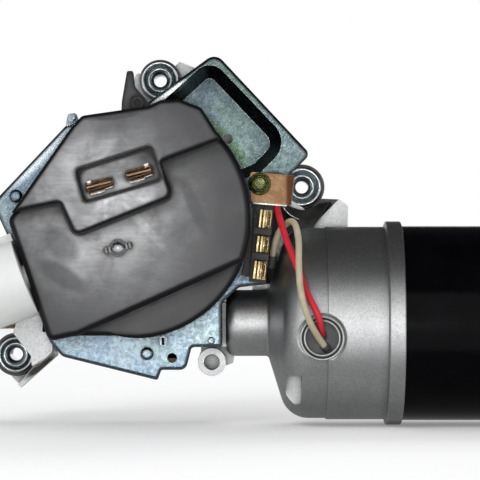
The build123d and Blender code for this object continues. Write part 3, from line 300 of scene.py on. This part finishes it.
    def set(self, name, output):
        """Drive one of the shader's sockets."""
        self.link(output, self.shader.inputs[name])


def cast_alloy():
    f = Finish("cast_alloy", Metallic=1.0)
    cloud = f.noise(9, 4, 0.6)
    grain = f.noise(0.55, 4, 0.7)
    base = f.colour(f.spread(cloud, 0.3, 0.7), (0.60, 0.61, 0.615), (0.71, 0.72, 0.72))
    base = f.colour(f.spread(grain, 0.45, 0.8), base, (0.34, 0.345, 0.35))
    # Painted shade: darker under and between parts, within 18 mm.
    base = f.colour(f.times(f.hollow_shade(18.0, 0.85, 0.3), 0.4), base, (0.05, 0.05, 0.05))
    # Painted shadow: a dark stripe on the gusset web of the left eye.
    base = f.colour(f.line_mask((-51.5, -62.5), (-38.0, -53.0), 2.4), base, (0.05, 0.045, 0.04))
    # Painted shade: near black in tight corners.
    base = f.colour(f.times(f.hollow_shade(3.0), 0.8), base, (0.03, 0.028, 0.025))
    # Bright edges, partly wear and partly painted highlight.
    base = f.colour(f.times(f.edges(0.45), 0.6), base, (0.80, 0.80, 0.79))
    f.set("Base Color", base)
    f.set("Roughness", f.spread(grain, 0.3, 0.7, 0.36, 0.48))
    f.bump(grain, 0.03)
    f.bump(f.noise(2.2, 2, 0.5), 0.03)
    return f.material


def zinc_plate():
    f = Finish("zinc_plate", Metallic=1.0)
    tint = f.noise(24, 2, 0.5, 0.8)
    grain = f.noise(0.6, 4, 0.7)
    low = f.colour(f.spread(tint, 0.36, 0.64), (0.115, 0.16, 0.215), (0.15, 0.20, 0.215))
    high = f.colour(f.spread(tint, 0.36, 0.64), (0.06, 0.09, 0.105), (0.075, 0.12, 0.10))
    # Painted shade: the plate is darker and greener towards its upper right.
    base = f.colour(f.times(f.beyond("Z", -0.015, 0.012), f.beyond("X", -0.020, 0.0)), low, high)
    base = f.colour(f.spread(f.noise(3, 4, 0.7), 0.45, 0.9), base, (0.26, 0.31, 0.36))
    # Painted shadow of the pump cover on the recess floor, dark green.
    base = f.colour(f.times(f.line_mask((8.0, 48.5), (39.0, 22.0), 5.0), 0.8), base, (0.05, 0.10, 0.035))
    # Painted reflection: a bright stripe across the left of the plate.
    base = f.colour(f.times(f.line_mask((-58.0, 12.0), (-31.0, 39.0), 5.0), 0.8), base, (0.60, 0.66, 0.72))
    # Painted highlight along the upper left rim of the recess.
    base = f.colour(f.times(f.line_mask((-3.0, 45.0), (14.0, 54.5), 2.2), 0.9), base, (0.80, 0.85, 0.88))
    base = f.colour(f.spread(grain, 0.5, 0.85), base, (0.36, 0.40, 0.42))
    # Painted shade: near black under and between parts, within 9 mm.
    base = f.colour(f.times(f.hollow_shade(9.0, 0.9, 0.35), 0.92), base, (0.010, 0.013, 0.014))
    # Bright edges, partly wear and partly painted highlight.
    base = f.colour(f.times(f.edges(0.4), 0.75), base, (0.75, 0.80, 0.82))
    f.set("Base Color", base)
    f.set("Roughness", f.spread(f.noise(1.6, 3, 0.6), 0.3, 0.7, 0.20, 0.32))
    f.bump(grain, 0.012)
    f.bump(f.noise(9, 2, 0.5), 0.05)
    return f.material


def black_paint():
    f = Finish("black_paint", Specular_IOR_Level=0.08)
    peel = f.noise(1.6, 2, 0.5)
    dust = f.noise(0.7, 5, 0.7)
    cloud = f.spread(f.noise(14, 4, 0.6), 0.3, 0.7)
    base = f.colour(cloud, (0.0008, 0.0008, 0.0014), (0.0022, 0.0021, 0.003))
    base = f.colour(f.times(f.edges(0.6), 0.35), base, (0.03, 0.03, 0.03))
    f.set("Base Color", base)
    f.set("Roughness", f.spread(dust, 0.3, 0.8, 0.12, 0.24))
    f.bump(peel, 0.012)
    return f.material


# Stripes in the painted sheen on the pump cover: start, end, half width, and how much of the sheen each
# keeps.
SHEEN_STRIPES = (((13.2, 16.3), (22.6, -5.5), 3.0, 0.45), ((-42.0, -15.3), (-23.2, -25.8), 4.5, 0.35),
          ((-39.4, -3.2), (-27.0, -13.8), 6.0, 0.45), ((4.0, -16.0), (20.0, 3.0), 3.5, 0.75),
          ((-8.2, 6.0), (8.0, -12.0), 2.0, 1.35), ((-30.0, -24.0), (-14.0, -2.0), 5.0, 1.25),
          ((-4.0, 8.0), (4.5, 12.0), 3.0, 1.4), ((27.0, -18.0), (20.0, -26.0), 4.0, 0.7),
          ((30.0, 12.0), (31.0, -12.0), 6.0, 0.55), ((-21.0, 38.6), (-2.5, 40.8), 1.7, 0.0),
          ((-33.0, 22.0), (-12.0, 30.0), 7.0, 1.5), ((5.0, 34.0), (14.0, 20.0), 6.0, 0.6),
          ((-26.0, 12.0), (-2.0, 21.0), 9.0, 1.8))


def black_plastic():
    f = Finish("black_plastic", Specular_IOR_Level=0.25)
    # Flow marks, which set the roughness and also vary the painted sheen.
    flow_and_sheen = f.noise(11, 4, 0.6, 0.35)
    sheen_streaks = f.noise(1.3, 4, 0.7, 0.0, (0.12, 1.0, 1.0))
    # Painted sheen: a pale haze for the reflection on the cover's front, brightest near its middle, streaked
    # and kept to the flat front faces.
    painted_sheen = f.around((-0.0165, -0.07, 0.005), (0.052, 0.09, 0.052))
    painted_sheen = f.times(painted_sheen, f.spread(flow_and_sheen, 0.36, 0.60, 0.45, 1.1))
    painted_sheen = f.times(painted_sheen, f.spread(sheen_streaks, 0.3, 0.7, 0.75, 1.1))
    for start, end, width, keep in SHEEN_STRIPES:
        painted_sheen = f.times(painted_sheen, f.spread(f.line_mask(start, end, width), 0.0, 1.0, 1.0, keep))
    painted_sheen = f.spread(painted_sheen, 0.0, 1.0, 0.075, 1.0)
    painted_sheen = f.times(painted_sheen, f.level())
    base = f.colour(painted_sheen, (0.006, 0.006, 0.008), (0.74, 0.745, 0.75))
    # Painted shade: near black in hollows and at the steps, kept off the floor of the terminal pocket.
    pocket = f.line_mask((-23.5, 12.6), (2.0, 20.6), 10.5, 0.12)
    shade = f.times(f.hollow_shade(6.0, 0.92, 0.45), f.spread(pocket, 0.0, 1.0, 0.96, 0.1))
    base = f.colour(shade, base, (0.004, 0.004, 0.004))
    f.set("Base Color", base)
    f.set("Roughness", f.spread(flow_and_sheen, 0.3, 0.75, 0.26, 0.40))
    f.bump(f.noise(0.35, 2, 0.5), 0.008)
    f.bump(f.noise(5, 3, 0.5, 0.6), 0.006)
    return f.material


def white_nylon():
    f = Finish("white_nylon", Subsurface_Weight=0.25, Subsurface_Scale=0.003)
    f.shader.inputs["Subsurface Radius"].default_value = (1.0, 0.9, 0.8)
    cloud = f.noise(11, 3, 0.5)
    base = f.colour(f.spread(cloud, 0.3, 0.7), (0.78, 0.80, 0.78), (0.86, 0.87, 0.85))
    # Painted shade in the corners.
    base = f.colour(f.times(f.hollow_shade(4.0), 0.5), base, (0.50, 0.50, 0.44))
    f.set("Base Color", base)
    f.set("Roughness", f.spread(f.noise(1.2), 0.3, 0.7, 0.30, 0.42))
    f.bump(f.noise(1.5, 3), 0.02)
    return f.material


def moulding(name, dark, light, rough=(0.45, 0.6), size=4.0, depth=0.02, **sockets):
    """A plain moulded or pressed material with cloudy colour and painted shade in its corners."""
    f = Finish(name, **sockets)
    base = f.colour(f.spread(f.noise(size, 5, 0.6), 0.3, 0.7), dark, light)
    # Painted shade in the corners.
    shade = tuple(0.35 * c for c in dark)
    base = f.colour(f.times(f.hollow_shade(2.0), 0.6), base, shade)
    f.set("Base Color", base)
    f.set("Roughness", f.spread(f.noise(0.8, 4, 0.6), 0.3, 0.7, *rough))
    f.bump(f.noise(0.5, 3, 0.6), depth)
    return f.material


def strap_copper():
    f = Finish("copper", Metallic=1.0)
    base = f.colour(f.spread(f.noise(4, 4, 0.6, 0.5), 0.3, 0.7), (0.13, 0.07, 0.035), (0.22, 0.135, 0.075))
    # The strap is darker past its bend, from x 52.2 to 53.4 mm on.
    base = f.colour(f.beyond("X", 0.0522, 0.0534), base, (0.055, 0.024, 0.012))
    # Painted shade in the corners.
    base = f.colour(f.times(f.hollow_shade(3.0), 0.7), base, (0.03, 0.015, 0.01))
    # Bright edges, partly wear and partly painted highlight.
    base = f.colour(f.times(f.edges(0.35), 0.6), base, (0.85, 0.66, 0.5))
    f.set("Base Color", base)
    f.set("Roughness", f.spread(f.noise(0.9, 4, 0.7), 0.3, 0.7, 0.24, 0.4))
    f.bump(f.noise(0.6, 3, 0.6), 0.012)
    return f.material


def turned_metal(name, dark, light, rough=(0.2, 0.34), size=5.0, depth=0.012, **sockets):
    """Metal with cloudy tarnish, fine tool marks, painted shade in its corners and bright edges that are
    partly wear and partly painted highlight.
    """
    f = Finish(name, Metallic=1.0, **sockets)
    base = f.colour(f.spread(f.noise(size, 4, 0.6, 0.5), 0.3, 0.7), dark, light)
    # Painted shade in the corners.
    base = f.colour(f.times(f.hollow_shade(2.0), 0.7), base, tuple(0.25 * c for c in dark))
    # Bright edges, partly wear and partly painted highlight.
    base = f.colour(f.times(f.edges(0.3), 0.5), base, tuple(min(1.0, 1.35 * c) for c in light))
    f.set("Base Color", base)
    f.set("Roughness", f.spread(f.noise(0.9, 4, 0.7), 0.3, 0.7, *rough))
    f.bump(f.noise(0.6, 3, 0.6, 0.0, (0.2, 1.0, 1.0)), depth)
    return f.material


def bright_sleeve():
    f = Finish("bright_sleeve", Metallic=1.0)
    base = f.colour(f.spread(f.noise(2.5, 4, 0.6), 0.35, 0.7), (0.50, 0.56, 0.58), (0.72, 0.77, 0.78))
    # Painted shade: near black in the corners.
    base = f.colour(f.times(f.hollow_shade(1.5), 0.8), base, (0.02, 0.025, 0.028))
    f.set("Base Color", base)
    f.set("Roughness", f.spread(f.noise(0.8, 4, 0.7), 0.3, 0.7, 0.10, 0.20))
    f.bump(f.noise(2.0, 2, 0.5), 0.02)
    return f.material


# Dark copy of the cast alloy: painted shade for the web between the right eye, the strap and the bell.
def shaded_cast():
    f = Finish("shaded_cast", Metallic=0.7)
    base = f.colour(f.spread(f.noise(6, 4, 0.6), 0.3, 0.7), (0.025, 0.024, 0.023), (0.075, 0.073, 0.070))
    # Bright edges, partly wear and partly painted highlight.
    base = f.colour(f.times(f.edges(0.4), 0.5), base, (0.30, 0.30, 0.29))
    f.set("Base Color", base)
    f.set("Roughness", f.spread(f.noise(0.6, 4, 0.7), 0.3, 0.7, 0.40, 0.55))
    f.bump(f.noise(0.6, 4, 0.7), 0.03)
    return f.material


MATERIALS = {
    "cast_alloy": cast_alloy(),
    "zinc_plate": zinc_plate(),
    "black_paint": black_paint(),
    "black_plastic": black_plastic(),
    "white_nylon": white_nylon(),
    "phenolic": moulding("phenolic", (0.030, 0.027, 0.024), (0.075, 0.070, 0.062)),
    "rubber_black": moulding("rubber_black", (0.022, 0.021, 0.021), (0.045, 0.043, 0.042), (0.6, 0.8)),
    "grey_resin": moulding("grey_resin", (0.045, 0.046, 0.048), (0.085, 0.086, 0.088), (0.3, 0.45)),
    "carbon": moulding("carbon", (0.03, 0.03, 0.03), (0.06, 0.06, 0.06), (0.4, 0.6), Metallic=0.3),
    "moulded_gear": moulding("moulded_gear", (0.66, 0.62, 0.52), (0.80, 0.78, 0.70), (0.35, 0.5)),
    "gasket_paper": moulding("gasket_paper", (0.12, 0.09, 0.06), (0.2, 0.16, 0.11), (0.7, 0.9), 0.8, 0.05),
    "red_insulation": moulding("red_insulation", (0.56, 0.012, 0.028), (0.72, 0.025, 0.045), (0.32, 0.45)),
    "white_insulation": moulding("white_insulation", (0.42, 0.37, 0.25), (0.56, 0.51, 0.36), (0.36, 0.5)),
    "steel": turned_metal("steel", (0.42, 0.43, 0.44), (0.60, 0.61, 0.62)),
    "dark_steel": turned_metal("dark_steel", (0.16, 0.155, 0.15), (0.28, 0.27, 0.26), (0.3, 0.45)),
    "iron": turned_metal("iron", (0.20, 0.19, 0.18), (0.34, 0.33, 0.32), (0.4, 0.6)),
    "brass": turned_metal("brass", (0.50, 0.34, 0.13), (0.86, 0.72, 0.44), (0.2, 0.34), 2.0),
    "bronze": turned_metal("bronze", (0.36, 0.24, 0.12), (0.52, 0.38, 0.22), (0.35, 0.5)),
    "copper": strap_copper(),
    "yellow_zinc": turned_metal("yellow_zinc", (0.035, 0.05, 0.015), (0.17, 0.19, 0.07), (0.2, 0.34), 1.6),
}

# ---------------------------------------------------------------- carried-over CAD nodes
slot_of = {row["node"]: row["material_slot"] for row in frame["record"]["subparts"]}
for name, piece in nodes.items():
    piece.data.materials.clear()
    piece.data.materials.append(MATERIALS[slot_of[name]])
nodes["crank_arm"].data.materials[0] = turned_metal(
    "crank_zinc", (0.24, 0.235, 0.14), (0.40, 0.39, 0.25), (0.26, 0.38), 14.0)


# ---------------------------------------------------------------- leads
def bench(x, y, z):
    """A point given by place along the motor, across it and height above the bulkhead, in millimetres."""
    return Vector((x, -z, y)) * MM


RED_ROUTE = [(48.9, 6.7, 57.6), (50.1, 1.6, 63.0), (51.6, -3.6, 68.6), (53.4, -9.0, 71.6),
             (55.6, -14.6, 74.4), (57.8, -20.6, 77.2), (60.4, -27.6, 80.0), (64.4, -34.8, 83.0),
             (65.7, -40.4, 81.2), (66.0, -42.8, 77.6)]
WHITE_ROUTE = [(47.5, -13.2, 56.6), (48.3, -7.8, 57.8), (50.6, -2.4, 59.6), (55.6, 1.4, 65.6),
               (57.4, -6.4, 75.2), (57.1, -14.6, 80.8), (57.4, -24.4, 83.8), (59.4, -33.2, 84.6),
               (62.8, -41.4, 82.2), (66.9, -47.0, 78.2)]
LEAD_RADIUS = 1.25


def lead(name, route, material, node):
    """A lead as a smooth round curve through its route."""
    curve = bpy.data.curves.new(name, "CURVE")
    curve.dimensions = "3D"
    curve.bevel_depth = LEAD_RADIUS * MM
    curve.bevel_resolution = 6
    curve.use_fill_caps = True
    curve.resolution_u = 12
    spline = curve.splines.new("NURBS")
    spline.points.add(len(route) - 1)
    for point, place in zip(spline.points, route):
        point.co = (*bench(*place), 1)
    spline.order_u = 3
    spline.use_endpoint_u = True
    curve.materials.append(MATERIALS[material])
    piece = bpy.data.objects.new(name, curve)
    bpy.context.scene.collection.objects.link(piece)
    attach(piece, "root")
    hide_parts(node)


lead("red_lead_wire", RED_ROUTE, "red_insulation", "red_lead")
lead("white_lead_wire", WHITE_ROUTE, "white_insulation", "white_lead")


# ---------------------------------------------------------------- added pieces
SLEEVE, SHADED_CAST = bright_sleeve(), shaded_cast()
LIP_RUBBER = moulding("lip_rubber", (0.075, 0.068, 0.064), (0.16, 0.145, 0.135), (0.35, 0.5), 2.0)


def place_piece(name, shape, slot, replaced=None, finish=None):
    """Make an object of a bmesh that was built in bench millimetres, and let it ride on the root."""
    for vertex in shape.verts:
        vertex.co = bench(*vertex.co)
    bmesh.ops.recalc_face_normals(shape, faces=shape.faces)
    mesh = bpy.data.meshes.new(name)
    shape.to_mesh(mesh)
    shape.free()
    for face in mesh.polygons:
        face.use_smooth = True
    mesh.set_sharp_from_angle(angle=math.radians(35))
    mesh.materials.append(finish or MATERIALS[slot])
    piece = bpy.data.objects.new(name, mesh)
    bpy.context.scene.collection.objects.link(piece)
    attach(piece, "root")
    if replaced:
        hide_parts(replaced)
    return piece


def add_box(shape, centre, size, turn=0.0, tilt=0.0, edge=0.0):
    """A box in bench millimetres, turned about the height and tilted about its own length."""
    spin = Matrix.Rotation(math.radians(turn), 4, "Z") @ Matrix.Rotation(math.radians(tilt), 4, "X")
    stand = Matrix.Translation(centre) @ spin @ Matrix.Diagonal((*size, 1))
    new = bmesh.ops.create_cube(shape, size=1, matrix=stand)
    if edge:
        edges = list({e for v in new["verts"] for e in v.link_edges})
        bmesh.ops.bevel(shape, geom=edges, offset=edge, segments=3, profile=0.5, affect="EDGES")


def add_lathe(shape, profile, frame_matrix, steps=48):
    """A profile of (radius, height) points turned about the Z axis of a frame."""
    rings = []
    for radius, height in profile:
        if radius == 0:
            rings.append([shape.verts.new(frame_matrix @ Vector((0, 0, height)))])
            continue
        rings.append([shape.verts.new(frame_matrix @ Vector((radius * math.cos(2 * math.pi * step / steps),
                                                           radius * math.sin(2 * math.pi * step / steps),
                                                           height))) for step in range(steps)])
    for low, high in zip(rings, rings[1:]):
        for step in range(steps):
            after = (step + 1) % steps
            corners = [low[step % len(low)], low[after % len(low)],
                       high[after % len(high)], high[step % len(high)]]
            shape.faces.new(list(dict.fromkeys(corners)))


def add_prism(shape, outline, low, edge=0.0):
    """A prism on (x, y, top) corners above a low level."""
    top = [shape.verts.new(corner) for corner in outline]
    bottom = [shape.verts.new((x, y, low)) for x, y, _ in outline]
    count = len(outline)
    faces = [shape.faces.new(top), shape.faces.new(bottom[::-1])]
    faces += [shape.faces.new([top[i], bottom[i], bottom[(i + 1) % count], top[(i + 1) % count]])
              for i in range(count)]
    if edge:
        bmesh.ops.bevel(shape, geom=list(faces[0].edges), offset=edge, segments=3, profile=0.5,
                        affect="EDGES")


def bead(radius, tube, height, sides=10):
    """The closed profile of a torus."""
    return [(radius + tube * math.cos(2 * math.pi * side / sides),
             height + tube * math.sin(2 * math.pi * side / sides)) for side in range(sides + 1)]


def upright(x, y):
    """The frame of a vertical axis at a place in bench millimetres."""
    return Matrix.Translation((x, y, 0))


BORE = upright(66.0, -44.0)
for name, radius, tube, height, slot in (("bore_lip_outer", 8.05, 0.42, 79.95, "cast_alloy"),
                                         ("bore_seal", 7.35, 0.36, 79.92, "rubber_black"),
                                         ("bore_lip_inner", 6.62, 0.36, 79.95, "cast_alloy")):
    shape = bmesh.new()
    add_lathe(shape, bead(radius, tube, height), BORE, 72)
    bmesh.ops.remove_doubles(shape, verts=shape.verts, dist=0.001)
    place_piece(name, shape, slot)

STUD = (-11.17, -9.97)
shape = bmesh.new()
dome = [(2.75 * math.cos(math.radians(angle)), 76.7 + 2.3 * math.sin(math.radians(angle)))
        for angle in range(0, 90, 10)] + [(0, 79.0)]
add_lathe(shape, [(0, 76.6), (2.9, 76.6)] + dome, upright(*STUD))
place_piece("stud_dome", shape, "steel")

POCKET_TURN = 16.5
ALONG = Vector((math.cos(math.radians(POCKET_TURN)), math.sin(math.radians(POCKET_TURN)), 0))
ACROSS = Vector((-ALONG.y, ALONG.x, 0))
lips, hearts = bmesh.new(), bmesh.new()
for x, y, side in ((-18.2, 13.9, -1), (-3.2, 18.4, 1)):
    centre = Vector((x, y, 0))

    def fold(shape, along, across, height, size, tilt=0):
        middle = centre + along * ALONG + across * ACROSS + Vector((0, 0, height))
        add_box(shape, middle, size, POCKET_TURN, tilt, 0.2)

    fold(lips, -1.5, -2.35, 76.4, (6.2, 1.5, 0.5), -14)
    fold(lips, 3.2, -1.9, 76.2, (3.4, 0.9, 0.5), -14)
    fold(lips, 3.5 * side, 1.9, 78.6, (2.0, 1.7, 0.7))
    fold(hearts, 0.0, -1.0, 77.0, (9.0, 0.5, 3.2))
    fold(hearts, -0.3, 0.3, 76.0, (8.6, 2.0, 0.5), 8)
    fold(hearts, 0.0, 1.6, 77.2, (9.2, 0.5, 3.6))
    fold(hearts, 2.6 * side, 0.9, 77.4, (2.2, 0.5, 3.4))
    fold(hearts, 4.6 * side, 0.2, 77.2, (0.5, 3.2, 3.2))
# Pale lips paint the highlight on the terminals' folds; the dark bodies are partly tarnish and partly painted
# shade in the pocket.
place_piece("pump_terminal_lips", lips, "brass",
            finish=turned_metal("lit_brass_lip", (0.66, 0.55, 0.48), (0.92, 0.86, 0.80), (0.2, 0.3)))
place_piece("pump_terminal_hearts", hearts, "brass",
            finish=turned_metal("tarnished_shaded_brass", (0.10, 0.055, 0.03), (0.42, 0.28, 0.14), (0.2, 0.35), 1.2))

BOARD_TURN = -6.2
BOARD_TERMINAL_LOW = 58.2
BOARD = Matrix.Translation((43.3, -8.4, 0)) @ Matrix.Rotation(math.radians(BOARD_TURN), 4, "Z")
shape = bmesh.new()
for y, length in ((9.6, 7.2), (-0.2, 6.4), (-10.2, 7.2)):
    for x, width, height, part in ((-1.5, 1.2, 65.3, 1.0), (-0.1, 1.1, 65.5, 1.0), (1.6, 0.5, 63.4, 0.94),
                                   (2.45, 0.6, 63.9, 0.8)):
        middle = BOARD @ Vector((x, y, (BOARD_TERMINAL_LOW + height) / 2))
        add_box(shape, middle, (width, length * part, height - BOARD_TERMINAL_LOW), BOARD_TURN, 0, 0.3)
    for x, end in ((2.05, 0.36), (2.05, -0.36)):
        middle = BOARD @ Vector((x, y + end * length, 62.6))
        add_box(shape, middle, (1.3, 1.0, 1.2), BOARD_TURN, 0, 0.25)
    add_box(shape, BOARD @ Vector((0.4, y, 58.3)), (5.0, length, 0.7), BOARD_TURN, 0, 0.15)
place_piece("board_terminals", shape, "brass", "blade_terminals")

# Pale lip along the lower edge of the strap: a painted highlight in a bright metal copy.
shape = bmesh.new()
add_box(shape, (46.4, 6.75, 60.0), (13.6, 1.1, 1.0), -4.4, 0, 0.4)
place_piece("strap_lip", shape, "copper",
            finish=turned_metal("lit_strap_lip", (0.66, 0.64, 0.62), (0.85, 0.83, 0.80), (0.2, 0.3)))


# Rolled sleeves in the three eyes, each with its rubber lip. Their bore is narrower than the solids' 2.9.
SLEEVE_BORE, SLEEVE_WALL = 2.5, 4.9
EYES = (("top", 2.9, 57.2, 7.0, 8.35), ("right", 59.9, 14.3, 7.1, 9.1), ("left", -55.1, -53.0, 6.6, 8.7))


def arc(radius, height, across, up, step=20):
    """Half an ellipse of (radius, height) points, from its outer side over the top to its inner side."""
    return [(radius + across * math.cos(math.radians(angle)), height + up * math.sin(math.radians(angle)))
            for angle in range(0, 181, step)]


for name, x, y, rim, lip in EYES:
    shape = bmesh.new()
    add_lathe(shape, [(SLEEVE_WALL, 0), (SLEEVE_WALL, 15.2), (rim + 0.5, 15.2)] + arc(rim, 17.3, 0.75, 0.7)
              + [(5.9, 16.5), (5.4, 16.1)] + arc(4.45, 17.2, 0.6, 0.7)
              + [(3.7, 16.2), (3.3, 15.2), (2.9, 14.4), (2.6, 13.8), (SLEEVE_BORE, 13.0), (SLEEVE_BORE, 0),
                 (SLEEVE_WALL, 0)], upright(x, y), 64)
    bmesh.ops.remove_doubles(shape, verts=shape.verts, dist=0.001)
    place_piece("sleeve_" + name, shape, slot_of["mounting_sleeves"], "mounting_sleeves", SLEEVE)
    shape = bmesh.new()
    add_lathe(shape, [(rim + 0.3, 14.9), (lip, 14.9)]
              + arc((rim + 0.5 + lip) / 2, 15.6, (lip - rim - 0.5) / 2, 1.0)
              + [(rim + 0.3, 15.6), (rim + 0.3, 14.9)], upright(x, y), 64)
    bmesh.ops.remove_doubles(shape, verts=shape.verts, dist=0.001)
    place_piece("grommet_lip_" + name, shape, "rubber_black", finish=LIP_RUBBER)

# Cast web between the right eye, the strap and the bell, in the dark copy of the cast alloy that paints its
# shade
shape = bmesh.new()
add_prism(shape, [(45.5, 6.6, 24.4), (52.2, 7.4, 24.3), (54.0, 7.2, 24.4), (56.2, 5.6, 25.0),
                  (59.9, 4.6, 25.4), (63.6, 5.6, 25.0), (66.3, 7.6, 24.3), (71.0, 8.2, 24.3),
                  (64.3, -2.0, 28.4), (63.0, -4.5, 29.4), (47.2, -4.5, 29.0), (45.8, 0.0, 27.0)], 22.0, 0.3)
place_piece("gusset_slope", shape, "cast_alloy", finish=SHADED_CAST)
shape = bmesh.new()
add_prism(shape, [(45.4, -1.0, 25.5), (49.5, -1.0, 25.5), (49.5, -24.5, 24.6), (45.4, -24.5, 24.3)],
          22.0, 0.3)
place_piece("gusset_foot", shape, "cast_alloy", finish=SHADED_CAST)

# Dark skirt of the board, which closes the slot beside the pump cover and stands in for the shade that falls
# there
shape = bmesh.new()
add_prism(shape, [(41.4, 9.5, 56.8), (39.9, 9.5, 56.8), (39.9, 1.0, 56.8), (38.9, -6.0, 56.8),
                  (37.0, -13.0, 56.8), (35.4, -20.5, 56.8), (38.7, -21.4, 56.8)], 54.1, 0.3)
place_piece("board_skirt_shade", shape, "phenolic")

# Ground screw with a washer, a hexagon head, a raised rim and a rough dished middle
SCREW_X, SCREW_Y = 42.6, 14.6
shape = bmesh.new()
hexagon = [(SCREW_X + 3.7 * math.cos(math.radians(60 * i)),
            SCREW_Y + 3.7 * math.sin(math.radians(60 * i)), 63.0) for i in range(6)]
add_prism(shape, hexagon, 60.5, 0.5)
add_lathe(shape, [(0, 60.5), (4.2, 60.5), (4.3, 60.9), (4.0, 61.4), (3.1, 61.6), (3.05, 63.9)]
          + arc(2.75, 64.0, 0.35, 0.5, 30) + [(2.2, 63.4), (0, 63.2)], upright(SCREW_X, SCREW_Y), 48)
place_piece("ground_screw_head", shape, "yellow_zinc", "ground_screw")
shape = bmesh.new()
for step in range(9):
    angle = math.radians(40 * step)
    reach = (1.3, 0.6, 1.5)[step % 3]
    add_box(shape, (SCREW_X + reach * math.cos(angle), SCREW_Y + reach * math.sin(angle), 63.4),
            (0.8, 0.45, 0.5), 70 * step, 20, 0.12)
# The rough middle is a brighter copy of the yellow zinc, which paints glints there.
place_piece("ground_screw_slot", shape, "yellow_zinc",
            finish=turned_metal("bright_zinc", (0.30, 0.31, 0.20), (0.62, 0.62, 0.50), (0.15, 0.3), 1.0))


def add_tube(shape, points, radius, sides=10):
    """A round tube with closed ends along points in bench millimetres."""
    rings = []
    for index, point in enumerate(points):
        ahead = points[min(index + 1, len(points) - 1)] - points[max(index - 1, 0)]
        turn = ahead.to_track_quat("Z", "Y")
        angles = [2 * math.pi * side / sides for side in range(sides)]
        circle = [Vector((radius * math.cos(angle), radius * math.sin(angle), 0)) for angle in angles]
        rings.append([shape.verts.new(point + turn @ place) for place in circle])
    for low, high in zip(rings, rings[1:]):
        for side in range(sides):
            after = (side + 1) % sides
            shape.faces.new([low[side], low[after], high[after], high[side]])
    shape.faces.new(rings[0][::-1])
    shape.faces.new(rings[-1])


# Compression spring behind the piston, built at one length; the real one shortens as the piston comes back
PUMP_TURN = math.radians(21.0)
PUMP_AXIS = Matrix.Rotation(PUMP_TURN, 4, "Z") @ Matrix.Translation((0, -3.0, 69.0))
SPRING_LOW, SPRING_HIGH, SPRING_TURNS, SPRING_STROKE = -81.0, -66.75, 4.0, 3.0
COIL_RADIUS, COIL_WIRE, COIL_STEPS = 6.0, 0.55, 160
shape = bmesh.new()
coil = []
for step in range(COIL_STEPS + 1):
    angle = 2 * math.pi * SPRING_TURNS * step / COIL_STEPS
    along = SPRING_LOW + (SPRING_HIGH - SPRING_LOW) * step / COIL_STEPS
    coil.append(PUMP_AXIS @ Vector((along, COIL_RADIUS * math.cos(angle), COIL_RADIUS * math.sin(angle))))
add_tube(shape, coil, COIL_WIRE)
spring = place_piece("piston_coil", shape, "steel", "piston_spring")
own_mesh(spring)

# Thin steel wire on the web below the eye, which stands in for a thin bright highlight line there
shape = bmesh.new()
WIRE = [(52.2, 6.2), (53.2, 4.6), (54.6, 3.2), (56.4, 2.0), (58.4, 1.2)]
for (x1, y1), (x2, y2) in zip(WIRE, WIRE[1:]):
    add_box(shape, ((x1 + x2) / 2, (y1 + y2) / 2, 28.0), (math.dist((x1, y1), (x2, y2)) + 0.3, 0.6, 3.0),
            math.degrees(math.atan2(y2 - y1, x2 - x1)), 0, 0.2)
place_piece("highlight_wire", shape, "steel")

# Threaded end-play screw of the armature, with its axis along the motor
THREAD_PITCH = 0.8
shape = bmesh.new()
threads = [(0, -59.0), (1.9, -59.0)]
x = -58.6
while x < -42.6:
    threads += [(2.4, x), (2.4, x + 0.22), (1.95, x + 0.5)]
    x += THREAD_PITCH
threads += [(2.35, -42.2), (2.35, -41.8), (0, -41.8)]
axis = Matrix.Translation((0, -39.5, 42.0)) @ Matrix.Rotation(math.radians(90), 4, "Y")
add_lathe(shape, threads, axis, 32)
place_piece("adjusting_thread", shape, "yellow_zinc", "adjusting_screw", MATERIALS["brass"])

# ---------------------------------------------------------------- floor
FLOOR_GAP = 0.0002
bpy.ops.mesh.primitive_plane_add(size=12, location=(0.05, 0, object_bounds()[0][2] - FLOOR_GAP))
floor = bpy.context.object
floor.name = "floor"
floor_material = bpy.data.materials.new("floor")
tree = nodes_of(floor_material)
tree.nodes.clear()
diffuse = add(tree, "ShaderNodeBsdfDiffuse", Color=(0.86, 0.86, 0.86, 1))
glow = add(tree, "ShaderNodeEmission", Color=(1, 1, 1, 1))
path = add(tree, "ShaderNodeLightPath")
shiny = add(tree, "ShaderNodeMath", operation="MAXIMUM")
lift = add(tree, "ShaderNodeMath", operation="MULTIPLY", i1=0.22)
both = add(tree, "ShaderNodeAddShader")
out = add(tree, "ShaderNodeOutputMaterial")
tree.links.new(path.outputs["Is Camera Ray"], shiny.inputs[0])
tree.links.new(path.outputs["Is Glossy Ray"], shiny.inputs[1])
tree.links.new(shiny.outputs[0], lift.inputs[0])
tree.links.new(lift.outputs[0], glow.inputs["Strength"])
tree.links.new(diffuse.outputs[0], both.inputs[0])
tree.links.new(glow.outputs[0], both.inputs[1])
tree.links.new(both.outputs[0], out.inputs[0])
floor.data.materials.append(floor_material)
floor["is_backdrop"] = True
